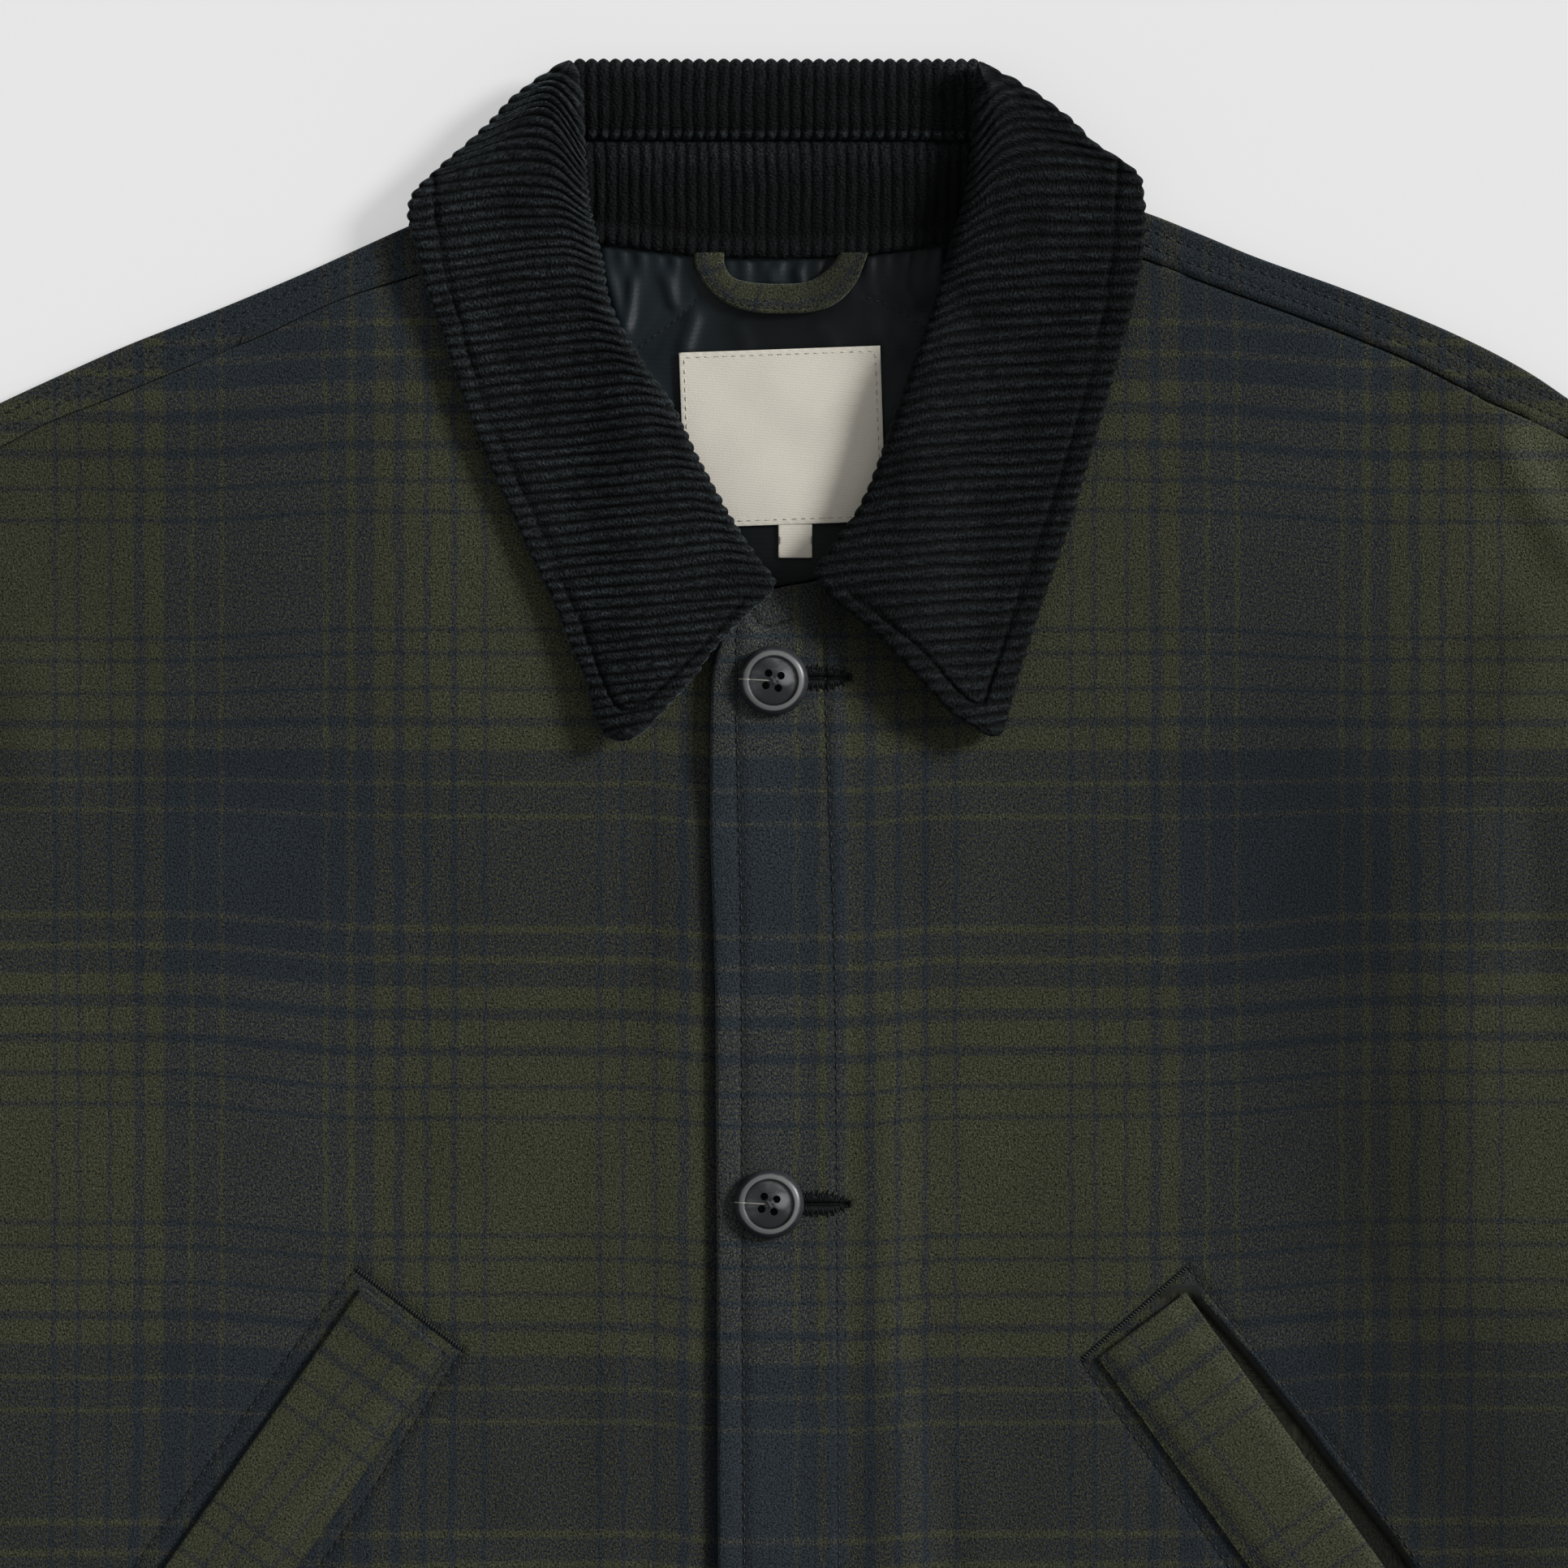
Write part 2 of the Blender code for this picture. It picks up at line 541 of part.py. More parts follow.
def make_sleeve(name, side, finish):
    """A sleeve as a flattened tube, open at the armhole and at the cuff."""
    outer = smooth_line(at_side(SLEEVE_OUTER, side), 20.0)
    inner = smooth_line(at_side(SLEEVE_INNER, side), 20.0)
    crown = [outer[0]]
    crown += [p + Vector((side * 0.4, 0.0)) for p in armhole_points(side)]
    crown[-1] = inner[0]
    crown_lengths = [(b - a).length for a, b in zip(crown, crown[1:])]
    shares = [sum(crown_lengths[:k]) / sum(crown_lengths) for k in range(len(crown))]
    height = 2.0 * SLEEVE_WALL + SLEEVE_SLOT
    middle = 0.5 * height

    def place(along, across):
        a = line_place(outer, along)
        b = line_place(inner, along)
        straight = a.lerp(b, across)
        chord = crown[0].lerp(crown[-1], across)
        bow = line_place(crown, across) - chord
        return straight + bow * (1.0 - smoothstep(along / lerp(0.35, 0.06, across)))

    def rise(along, across):
        total = 0.0
        for fold in SLEEVE_FOLDS:
            shift = fold["along"] + 0.10 * (across - fold["across"])
            off = (along - shift) / fold["width"]
            reach = math.exp(-((across - fold["across"]) / 0.28) ** 2)
            total += fold["height"] * reach * math.exp(-off * off)
        edge = smoothstep(min(across, 1.0 - across) / 0.12)
        ends = smoothstep(along / 0.08) * smoothstep((1.0 - along) / 0.06)
        return total * edge * ends

    wide = SLEEVE_WALL * 1.2
    rings = {"outside": [], "inside": []}
    for row in range(SLEEVE_ROWS):
        along = row / (SLEEVE_ROWS - 1)
        width = (place(along, 0.0) - place(along, 1.0)).length
        margin = wide / width
        outside = []
        inside = []
        for half in (1, -1):
            steps = shares[:-1] if half == 1 else shares[:0:-1]
            for share in steps:
                p = place(along, share)
                lift = rise(along, share)
                end = share < 0.001 or share > 0.999
                top = height + lift
                z = middle if end else (top if half == 1 else 0.0)
                outside.append((p.x, p.y, z))
                q = place(along, margin + (1.0 - 2.0 * margin) * share)
                z = middle if end else (top - SLEEVE_WALL if half == 1 else SLEEVE_WALL)
                inside.append((q.x, q.y, z))
        rings["outside"].append(outside)
        rings["inside"].append(inside)
    size = len(rings["outside"][0])
    points = [p for ring in rings["outside"] for p in ring]
    base = len(points)
    points += [p for ring in rings["inside"] for p in ring]
    faces = []
    for r in range(SLEEVE_ROWS - 1):
        for i in range(size):
            j = (i + 1) % size
            a, b = r * size + i, r * size + j
            c, d = (r + 1) * size + j, (r + 1) * size + i
            faces.append((a, b, c, d))
            faces.append((base + d, base + c, base + b, base + a))
    for r in (0, SLEEVE_ROWS - 1):
        for i in range(size):
            j = (i + 1) % size
            faces.append((r * size + i, base + r * size + i, base + r * size + j, r * size + j))
    return add_object(name, points, faces, finish)


def leaf_rest(x, y):
    """Underside of a collar leaf: over the closure, over the turned collar or on a front."""
    over_band = smoothstep((66.0 - abs(x)) / 28.0)
    over_turn = smoothstep((y + 36.0) / 22.0)
    return max(lerp(LEAF_OVER_FRONT, LEAF_OVER_BAND, over_band),
               lerp(LEAF_OVER_FRONT, LEAF_OVER_TURN, over_turn))


def make_leaf(name, side, finish):
    """A leaf of the turned collar, with a raised wale at every other ring."""
    outer_length = LEAF_WALES[side][0][0] - LEAF_WALES[side][-1][0]
    wales = round(outer_length / LEAF_WALE_PITCH[side])
    keys = LEAF_WALES[side]
    reach = [abs(a - b) for (a, _), (b, _) in zip(keys, keys[1:])]
    total = sum(reach)
    rings = []
    ring_count = 2 * wales + 1
    for ring_index in range(ring_count):
        left = ring_index / (ring_count - 1) * total
        for k, step in enumerate(reach):
            if left <= step or k == len(reach) - 1:
                share = min(left / step, 1.0)
                outer_y = lerp(keys[k][0], keys[k + 1][0], share)
                roll_y = lerp(keys[k][1], keys[k + 1][1], share)
                break
            left -= step
        raised = WALE_HEIGHT if ring_index % 2 else -WALE_HEIGHT
        outer = Vector((read_table(LEAF_OUTER[side], outer_y), outer_y))
        roll = Vector((read_table(LEAF_ROLL_EDGE[side], roll_y), roll_y))
        run = (roll - outer).normalized()
        outer -= run * 0.5 * raised
        roll += run * 0.5 * raised
        front_share = smoothstep((-roll_y - 40.0) / 70.0)
        thick_roll = lerp(LEAF_ROLL, LEAF_ROLL_FRONT, front_share)
        width = (roll - outer).length
        edge_share = min(0.5 * LEAF_EDGE_CLOTH / width, 0.3)
        roll_share = min(0.6 * thick_roll / width, 0.35)

        def node(share, thick, lift):
            p = outer.lerp(roll, share)
            return (p.x, p.y, leaf_rest(p.x, p.y) + thick + lift)

        middle_thick = 0.5 * (LEAF_EDGE_CLOTH + thick_roll)
        rings.append([
            node(0.0, 0.5 * LEAF_EDGE_CLOTH, 0.0),
            node(edge_share, LEAF_EDGE_CLOTH, raised),
            node(0.5, middle_thick, raised),
            node(1.0 - roll_share, thick_roll, raised),
            node(1.0, 0.5 * thick_roll, 0.0),
            node(1.0 - 0.7 * roll_share, 0.0, 0.0),
            node(0.5, 0.0, 0.0),
            node(edge_share, 0.0, 0.0),
        ])
    return loft(name, rings, finish)


def make_turned_back(finish):
    """The folded back of the collar, with wales where it shows between the leaves."""
    wales = round(2.0 * TURN_HALF / BACK_WALE_PITCH)
    xs = [-TURN_HALF + TURN_HALF * k / wales for k in range(2 * wales + 1)]
    places = [(-x, 0.0, COLLAR_WING_LOW) for x in COLLAR_WING_X]
    places += [(x, WALE_HEIGHT if k % 2 else -WALE_HEIGHT, TURN_SEAM_Y)
               for k, x in enumerate(xs)]
    places += [(x, 0.0, COLLAR_WING_LOW) for x in reversed(COLLAR_WING_X)]
    rings = []
    for x, raised, low in places:
        top = read_table(COLLAR_FOLD, abs(x)) + 0.4 * raised
        deep = TURN_HEIGHT + raised
        rings.append([
            (x, top, 0.5 * TURN_HEIGHT),
            (x, top - 1.2, 0.86 * deep),
            (x, lerp(top, low, 0.3), deep),
            (x, lerp(top, low, 0.7), 0.97 * deep),
            (x, low, 0.82 * deep),
            (x, low, 0.0),
            (x, top - 1.5, 0.0),
        ])
    return loft("collar_turned_back", rings, finish)


def make_stand(finish):
    """The collar's stand, from its seam with the turned part down to the neck seam."""
    wales = round(2.0 * STAND_HALF / BACK_WALE_PITCH)
    rings = []
    for k in range(2 * wales + 1):
        x = -STAND_HALF + STAND_HALF * k / wales
        raised = WALE_HEIGHT if k % 2 else -WALE_HEIGHT
        top = TURN_SEAM_Y - GAP
        low = read_table(BACK_NECK, abs(x)) + GAP + 0.1
        deep = STAND_HEIGHT + raised
        rings.append([
            (x, top, 0.88 * deep),
            (x, top - 2.0, deep),
            (x, lerp(top, low, 0.5), 0.98 * deep),
            (x, low + 6.0, 0.9 * deep),
            (x, low, 0.62 * deep),
            (x, low, 0.0),
            (x, top, 0.0),
        ])
    return loft("collar_stand", rings, finish)


def make_lining(finish):
    """The back lining, where it shows through the neck."""
    inset = 0.7
    neck_left = smooth_line(at_side(BACK_NECK, -1), NECK_STEP)
    neck_right = smooth_line(at_side(BACK_NECK, 1), NECK_STEP)
    top = [p for p in neck_left if p.x > -TURN_HALF]
    top += [p for p in neck_right[::-1] if 0 < p.x < TURN_HALF]
    top = [Vector((p.x, p.y - inset)) for p in top]
    left = [Vector((-x + inset + 0.3, y)) for x, y in FRONT_NECK[-1] if y < -20.0]
    right = [Vector((x - inset - 0.3, y)) for x, y in FRONT_NECK[1] if y < -20.0]
    left[-1].y += inset
    right[-1].y += inset
    outline = top + right + left[::-1]
    inner = grid_inside(outline, 22.0, 8.0)
    return panel("neck_lining", outline, inner, lambda x, y: LINING_FLOOR,
                 lambda x, y: LINING_TOP, finish)


def make_loop(finish):
    """The hanging loop, a folded strip bowed down from the neck seam."""
    rings = []
    count = 17
    low = LINING_TOP + GAP
    for k in range(count):
        turn = math.pi * k / (count - 1)
        centre = Vector((0.8 - LOOP_HALF * math.cos(turn), LOOP_TOP_Y - LOOP_DROP * math.sin(turn)))
        along = Vector((LOOP_HALF * math.sin(turn), -LOOP_DROP * math.cos(turn))).normalized()
        across = Vector((-along.y, along.x)) * 0.5 * LOOP_WIDTH
        if k in (0, count - 1):
            across = Vector((0.5 * LOOP_WIDTH * (1 if k == 0 else -1), 0.0))
        inner = centre + across
        outer = centre - across
        inner.y = min(inner.y, LOOP_TOP_Y + 1.6)
        rings.append([(inner.x, inner.y, low), (outer.x, outer.y, low),
                      (outer.x, outer.y, low + LOOP_CLOTH), (inner.x, inner.y, low + LOOP_CLOTH)])
    return loft("hanging_loop", rings, finish)


def make_label(finish_label, finish_tab):
    """The bare neck label and the bare tab below it."""
    low = LINING_TOP + GAP
    half_w = 0.5 * LABEL_SIZE[0]
    half_h = 0.5 * LABEL_SIZE[1]
    outline = []
    for x, y in ((-half_w, -half_h), (half_w, -half_h), (half_w, half_h), (-half_w, half_h)):
        outline.append(Vector((LABEL_CENTRE[0] + x * math.cos(LABEL_TURN) - y * math.sin(LABEL_TURN),
                               LABEL_CENTRE[1] + x * math.sin(LABEL_TURN) + y * math.cos(LABEL_TURN))))
    panel("neck_label", outline, [], lambda x, y: low, lambda x, y: low + LABEL_CLOTH, finish_label)
    x0, y0 = TAB_LOW
    w, h = TAB_SIZE
    tab = [Vector((x0, y0)), Vector((x0 + w, y0)), Vector((x0 + w, y0 + h)), Vector((x0, y0 + h))]
    panel("label_tab", tab, [], lambda x, y: low, lambda x, y: low + TAB_CLOTH, finish_tab)


def make_welt(name, side, finish):
    """A slanting welt, made from the points of the front that it lies on."""
    values = WELTS[side]
    corner = Vector(values["corner"])
    down = Vector(values["down"]) * WELT_LENGTH
    across = Vector(values["across"])
    steps = [k / WELT_ROWS for k in range(WELT_ROWS + 1)]
    outline = [corner + down * step for step in steps]
    outline += [corner + across + down * step for step in reversed(steps)]
    if side == -1:
        outline = outline[::-1]
    surface = under_front_top if side == -1 else upper_front_top
    inner = [corner + across * 0.5 + down * ((k + 0.5) / WELT_ROWS) for k in range(WELT_ROWS)]
    return panel(name, outline, inner, lambda x, y: surface(x, y) + GAP,
                 lambda x, y: surface(x, y) + GAP + WELT_CLOTH, finish)


def make_button(name, y, finish):
    """A round button with a raised rim, a dished face and four holes."""
    segments = BUTTON_SEGMENTS
    points = [(0.0, 0.0, 0.0)]
    for r, z in BUTTON_PROFILE[1:-1]:
        for s in range(segments):
            turn = 2.0 * math.pi * s / segments
            points.append((r * math.cos(turn), r * math.sin(turn), z))
    points.append((0.0, 0.0, BUTTON_PROFILE[-1][1]))
    faces = []
    ring_count = len(BUTTON_PROFILE) - 2
    for s in range(segments):
        t = (s + 1) % segments
        faces.append((0, 1 + t, 1 + s))
        for r in range(ring_count - 1):
            a = 1 + r * segments
            faces.append((a + s, a + t, a + segments + t, a + segments + s))
        last = 1 + (ring_count - 1) * segments
        faces.append((last + s, last + t, len(points) - 1))
    made = add_object(name, points, faces, finish)
    floor = BAND_TOP + GAP
    made.location = Vector((BUTTON_X, y, floor)) * MM
    holes = bmesh.new()
    for sx in (-HOLE_OFFSET, HOLE_OFFSET):
        for sy in (-HOLE_OFFSET, HOLE_OFFSET):
            hole = bmesh.ops.create_cone(holes, cap_ends=True, segments=HOLE_SEGMENTS,
                                         radius1=HOLE_RADIUS * MM, radius2=HOLE_RADIUS * MM,
                                         depth=8.0 * MM)
            bmesh.ops.translate(holes, verts=hole["verts"], vec=Vector((sx, sy, 1.2)) * MM)
    mesh = bpy.data.meshes.new(name + "_holes")
    holes.to_mesh(mesh)
    holes.free()
    cutter = bpy.data.objects.new(name + "_holes", mesh)
    bpy.context.scene.collection.objects.link(cutter)
    cutter.parent = jacket
    cutter.location = made.location
    cutter.hide_render = True
    cutter.display_type = "WIRE"
    cut = made.modifiers.new("holes", "BOOLEAN")
    cut.operation = "DIFFERENCE"
    cut.object = cutter
    return made


def centre_on_floor():
    """Moves the jacket so that the middle of its outline is over the origin."""
    bpy.context.view_layer.update()
    ys = []
    for made in jacket.children:
        ys += [(made.matrix_world @ v.co).y for v in made.data.vertices]
    jacket.location.y -= 0.5 * (min(ys) + max(ys))


for old in list(bpy.data.objects):
    bpy.data.objects.remove(old, do_unlink=True)

jacket = bpy.data.objects.new("jacket", None)
bpy.context.scene.collection.objects.link(jacket)

make_back(material("wool_back", WOOL, WOOL_ROUGHNESS))
make_fronts(material("wool_under_front", WOOL, WOOL_ROUGHNESS),
            material("wool_upper_front", WOOL, WOOL_ROUGHNESS))
for side, word in ((-1, "left"), (1, "right")):
    make_sleeve("sleeve_" + word, side, material("wool_sleeve_" + word, WOOL, WOOL_ROUGHNESS))
    make_leaf("collar_leaf_" + word, side,
              material("corduroy_leaf_" + word, CORDUROY, CORDUROY_ROUGHNESS))
    make_welt("welt_" + word, side, material("wool_welt_" + word, WOOL, WOOL_ROUGHNESS))
make_turned_back(material("corduroy_turned_back", CORDUROY, CORDUROY_ROUGHNESS))
make_stand(material("corduroy_stand", CORDUROY, CORDUROY_ROUGHNESS))
make_lining(material("satin_lining", LINING_SATIN, LINING_ROUGHNESS))
make_loop(material("wool_loop", LOOP_WOOL, WOOL_ROUGHNESS))
make_label(material("label_satin", LABEL_SATIN, LABEL_ROUGHNESS),
           material("tab_satin", LABEL_SATIN, LABEL_ROUGHNESS))
for number in range(BUTTON_COUNT):
    make_button("button_" + str(number + 1), FIRST_BUTTON_Y - number * BUTTON_PITCH,
                material("button_resin_" + str(number + 1), RESIN, RESIN_ROUGHNESS))
centre_on_floor()
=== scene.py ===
import math

import bmesh
import bpy
import numpy as np
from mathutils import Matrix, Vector
from mathutils.geometry import delaunay_2d_cdt


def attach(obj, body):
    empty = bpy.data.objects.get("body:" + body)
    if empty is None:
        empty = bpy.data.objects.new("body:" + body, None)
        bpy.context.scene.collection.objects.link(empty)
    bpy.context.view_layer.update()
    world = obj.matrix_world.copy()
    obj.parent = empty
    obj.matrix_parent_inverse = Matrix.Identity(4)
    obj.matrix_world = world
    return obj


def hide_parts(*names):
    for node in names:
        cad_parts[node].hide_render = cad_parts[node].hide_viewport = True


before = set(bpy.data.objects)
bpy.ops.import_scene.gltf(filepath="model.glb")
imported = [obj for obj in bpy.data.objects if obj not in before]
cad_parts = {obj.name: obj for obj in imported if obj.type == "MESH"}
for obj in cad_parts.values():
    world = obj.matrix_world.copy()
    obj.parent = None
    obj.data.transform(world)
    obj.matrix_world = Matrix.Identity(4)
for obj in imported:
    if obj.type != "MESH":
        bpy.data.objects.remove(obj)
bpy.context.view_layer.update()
print("frame loaded")

mm = 0.001
shiftY = 0.325525  # the jacket's own middle to the middle of its outline, in metres
scene = bpy.context.scene


# Shared helpers for lines, tables and soft forms
def smooth(value):
    value = np.clip(value, 0.0, 1.0)
    return value * value * (3.0 - 2.0 * value)


def mix(a, b, share):
    return a + (b - a) * share


def tableAt(table, places):
    rows = np.array(sorted(table), float)
    return np.interp(places, rows[:, 0], rows[:, 1])


def softTable(table, places):
    # smooth curve through the rows of a table
    rows = np.array(sorted(table), float)
    x, y = rows[:, 0], rows[:, 1]
    gaps = np.diff(x)
    slopes = np.diff(y) / gaps
    ends = np.concatenate([slopes[:1], 0.5 * (slopes[:-1] + slopes[1:]), slopes[-1:]])
    places = np.clip(np.asarray(places, float), x[0], x[-1])
    k = np.clip(np.searchsorted(x, places, side="right") - 1, 0, len(gaps) - 1)
    t = (places - x[k]) / gaps[k]
    return ((1 + 2 * t) * (1 - t) ** 2 * y[k] + t * (1 - t) ** 2 * gaps[k] * ends[k]
            + t * t * (3 - 2 * t) * y[k + 1] + t * t * (t - 1) * gaps[k] * ends[k + 1])


def curveThrough(points, step):
    points = np.asarray(points, float)
    padded = np.vstack([points[:1], points, points[-1:]])
    line = []
    for i in range(1, len(padded) - 2):
        a, b, c, d = padded[i - 1:i + 3]
        count = max(1, int(round(np.linalg.norm(c - b) / step)))
        for k in range(count):
            t = k / count
            line.append(0.5 * (2 * b + (c - a) * t + (2 * a - 5 * b + 4 * c - d) * t * t
                               + (3 * b - a - 3 * c + d) * t ** 3))
    line.append(points[-1])
    return np.array(line)


def lengthsAlong(line):
    return np.concatenate([[0.0], np.cumsum(np.linalg.norm(np.diff(line, axis=0), axis=1))])


def pointsAlong(line, lengths, places):
    return np.column_stack([np.interp(places, lengths, column) for column in line.T])


def evenly(line, step):
    line = np.asarray(line, float)
    lengths = lengthsAlong(line)
    count = max(1, int(round(lengths[-1] / step)))
    return pointsAlong(line, lengths, np.linspace(0.0, lengths[-1], count + 1))


def lineDistance(points, line):
    best = np.full(len(points), 1e9)
    for a, b in zip(line[:-1], line[1:]):
        run = b - a
        share = np.clip(((points - a) @ run) / max(run @ run, 1e-12), 0.0, 1.0)
        away = points - a - share[:, None] * run
        best = np.minimum(best, np.hypot(away[:, 0], away[:, 1]))
    return best


def insideOutline(points, outline):
    x, y = points[:, 0], points[:, 1]
    inside = np.zeros(len(points), bool)
    for (ax, ay), (bx, by) in zip(outline, np.roll(outline, -1, axis=0)):
        if ay != by:
            inside ^= ((ay > y) != (by > y)) & (x < ax + (y - ay) / (by - ay) * (bx - ax))
    return inside


def softNoise(points, size, seed):
    # smooth uneven heights between -1 and 1, with bumps of one size in millimetres
    grid = np.random.default_rng(seed).uniform(-1.0, 1.0, (64, 64))
    x = np.asarray(points[:, 0]) / size + 1000.0
    y = np.asarray(points[:, 1]) / size + 1000.0
    i, j = np.floor(x).astype(int), np.floor(y).astype(int)
    s, t = smooth(x - i), smooth(y - j)
    a, b = grid[i % 64, j % 64], grid[(i + 1) % 64, j % 64]
    c, d = grid[i % 64, (j + 1) % 64], grid[(i + 1) % 64, (j + 1) % 64]
    return mix(mix(a, b, s), mix(c, d, s), t)


def foldHeights(points, folds):
    # each fold: x and y of its start and end, half width, height (a trough if negative)
    total = np.zeros(len(points))
    for x0, y0, x1, y1, width, height in folds:
        start = np.array([x0, y0])
        run = np.array([x1 - x0, y1 - y0])
        share = ((points - start) @ run) / (run @ run)
        away = points - start - share[:, None] * run
        off = np.hypot(away[:, 0], away[:, 1]) / width
        taper = smooth(share / 0.3) * smooth((1.0 - share) / 0.3)
        total += height * taper * np.exp(-off * off) * ((share > 0) & (share < 1))
    return total


def turnOut(mesh):
    # every face looks outwards
    body = bmesh.new()
    body.from_mesh(mesh)
    bmesh.ops.recalc_face_normals(body, faces=body.faces)
    body.to_mesh(mesh)
    body.free()


def addMesh(name, points, faces, finish, cloth=None, shade=None):
    points = np.asarray(points, float) * mm
    points[:, 1] += shiftY
    mesh = bpy.data.meshes.new(name)
    mesh.from_pydata(points.tolist(), [], faces)
    turnOut(mesh)
    mesh.shade_smooth()
    if cloth is not None:
        flat = np.zeros((len(points), 3), np.float32)
        flat[:, :2] = cloth
        mesh.attributes.new("cloth", "FLOAT_VECTOR", "POINT").data.foreach_set("vector", flat.ravel())
    if shade is not None:
        values = np.asarray(shade, np.float32)
        mesh.attributes.new("shade", "FLOAT", "POINT").data.foreach_set("value", values)
    mesh.materials.append(finish)
    made = bpy.data.objects.new(name, mesh)
    scene.collection.objects.link(made)
    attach(made, "root")
    return made


def standIn(piece, node):
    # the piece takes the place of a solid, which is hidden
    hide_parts(node)
    return piece


def nodeOutline(node, step, side=1.0):
    # the outline of a panel's upper (or under) side, as even points between its corners
    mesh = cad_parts[node].data
    welded = bmesh.new()
    welded.from_mesh(mesh)
    bmesh.ops.remove_doubles(welded, verts=welded.verts, dist=1e-6)
    welded.normal_update()
    shown = [f.normal.z * side > 0.25 for f in welded.faces]
    places = [np.array((v.co.x, v.co.y)) for v in welded.verts]
    follow = {}
    for face in welded.faces:
        if not shown[face.index]:
            continue
        for loop in face.loops:
            if not any(shown[f.index] for f in loop.edge.link_faces if f is not face):
                follow.setdefault(loop.vert.index, []).append(loop.link_loop_next.vert.index)
    welded.free()
    rings = []
    for start in sorted(follow):
        ring, at = [], start
        while follow.get(at):
            ring.append(places[at])
            at = follow[at].pop()
        if len(ring) > 2:
            rings.append(np.array(ring))

    def ringArea(ring):
        x, y = ring.T
        return abs(np.sum(x * np.roll(y, -1) - np.roll(x, -1) * y))

    ring = max(rings, key=ringArea)
    ring = (ring - np.array([0.0, shiftY])) / mm
    ahead = np.roll(ring, -1, axis=0) - ring
    behind = ring - np.roll(ring, 1, axis=0)
    turn = np.abs(np.arctan2(behind[:, 0] * ahead[:, 1] - behind[:, 1] * ahead[:, 0],
                             (behind * ahead).sum(1)))
    corners = [i for i in range(len(ring)) if turn[i] > math.radians(28.0)]
    if not corners:
        corners = [0]
    outline = []
    for a, b in zip(corners, corners[1:] + [corners[0] + len(ring)]):
        part = np.array([ring[i % len(ring)] for i in range(a, b + 1)])
        outline.append(evenly(curveThrough(part, step), step)[:-1])
    return np.vstack(outline)


def triangulate(points, ringCount, lines):
    coords = [Vector(p) for p in points]
    edges = []
    for line in lines:
        first = len(coords)
        coords += [Vector(p) for p in line]
        edges += [(first + i, first + i + 1) for i in range(len(line) - 1)]
    found = delaunay_2d_cdt(coords, edges, [list(range(ringCount))], 1, 1e-4)
    place = {}
    for index, olds in enumerate(found[3]):
        for old in olds:
            place[old] = index
    flat = np.array([(p.x, p.y) for p in found[0]])
    return flat, [tuple(t) for t in found[2]], [place[i] for i in range(ringCount)]


def innerGrid(outline, spacing, margin):
    low, high = outline.min(0), outline.max(0)
    ys = np.arange(low[1] + 0.5 * spacing, high[1], spacing * 0.87)
    rows = []
    for k, y in enumerate(ys):
        xs = np.arange(low[0] + (0.5 * spacing if k % 2 else 0.0), high[0], spacing)
        rows.append(np.column_stack([xs, np.full(len(xs), y)]))
    points = np.vstack(rows)
    points = points[insideOutline(points, outline)]
    return points[lineDistance(points, np.vstack([outline, outline[:1]])) > margin]


def clothPanel(name, outline, topAt, lowAt, clothAt, finish, spacing=3.0, edge=1.0, lines=(),
               shadeAt=None):
    # a closed shell of cloth with rounded edges, over an outline
    closed = np.vstack([outline, outline[:1]])
    tangent = np.roll(outline, -1, axis=0) - np.roll(outline, 1, axis=0)
    area = 0.5 * np.sum(outline[:, 0] * np.roll(outline[:, 1], -1)
                        - np.roll(outline[:, 0], -1) * outline[:, 1])
    inward = np.column_stack([-tangent[:, 1], tangent[:, 0]]) * (1.0 if area > 0 else -1.0)
    inward /= np.linalg.norm(inward, axis=1)[:, None]
    rounds = []
    for turn in (30.0, 60.0, 90.0):
        inset = edge * (1.0 - math.cos(math.radians(turn)))
        moved = outline + inward * inset
        keep = insideOutline(moved, outline) & (lineDistance(moved, closed) > 0.93 * inset)
        rounds.append(moved[keep])
    lines = [np.asarray(line, float) for line in lines]
    grid = innerGrid(outline, spacing, edge + 0.4 * spacing)
    for line in lines:
        grid = grid[lineDistance(grid, line) > 0.4 * spacing]
    topFlat, topFaces, topRing = triangulate(np.vstack([outline, *rounds, grid]), len(outline), lines)
    coarse = innerGrid(outline, 12.0, 8.0)
    lowFlat, lowFaces, lowRing = triangulate(np.vstack([outline, rounds[2], coarse]), len(outline), [])

    def drop(points):
        away = np.clip(edge - lineDistance(points, closed), 0.0, edge)
        return edge - np.sqrt(np.maximum(edge * edge - away * away, 0.0))

    top = np.column_stack([topFlat, topAt(topFlat) - drop(topFlat)])
    low = np.column_stack([lowFlat, lowAt(lowFlat) + drop(lowFlat)])
    count = len(top)
    faces = topFaces + [tuple(i + count for i in reversed(f)) for f in lowFaces]
    ringSize = len(topRing)
    for i in range(ringSize):
        j = (i + 1) % ringSize
        faces.append((topRing[i], lowRing[i] + count, lowRing[j] + count, topRing[j]))
    points = np.vstack([top, low])
    shade = np.ones(len(points)) if shadeAt is None else shadeAt(points[:, :2])
    return addMesh(name, points, faces, finish, clothAt(points[:, :2]), shade)


def loftPiece(name, rings, finish, cloth, shade):
    # rings: rows x points round a section x 3
    rows, size = rings.shape[:2]
    faces = []
    for r in range(rows - 1):
        for i in range(size):
            j = (i + 1) % size
            faces.append((r * size + i, r * size + j, (r + 1) * size + j, (r + 1) * size + i))
    faces.append(tuple(range(size)))
    faces.append(tuple((rows - 1) * size + i for i in reversed(range(size))))
    return addMesh(name, rings.reshape(-1, 3), faces, finish, cloth.reshape(-1, 2), shade.ravel())


def loftRings(name, rings, finish, cloths, shades):
    return loftPiece(name, np.stack(rings, axis=1), finish, np.stack(cloths, axis=1),
                     np.stack(shades, axis=1))


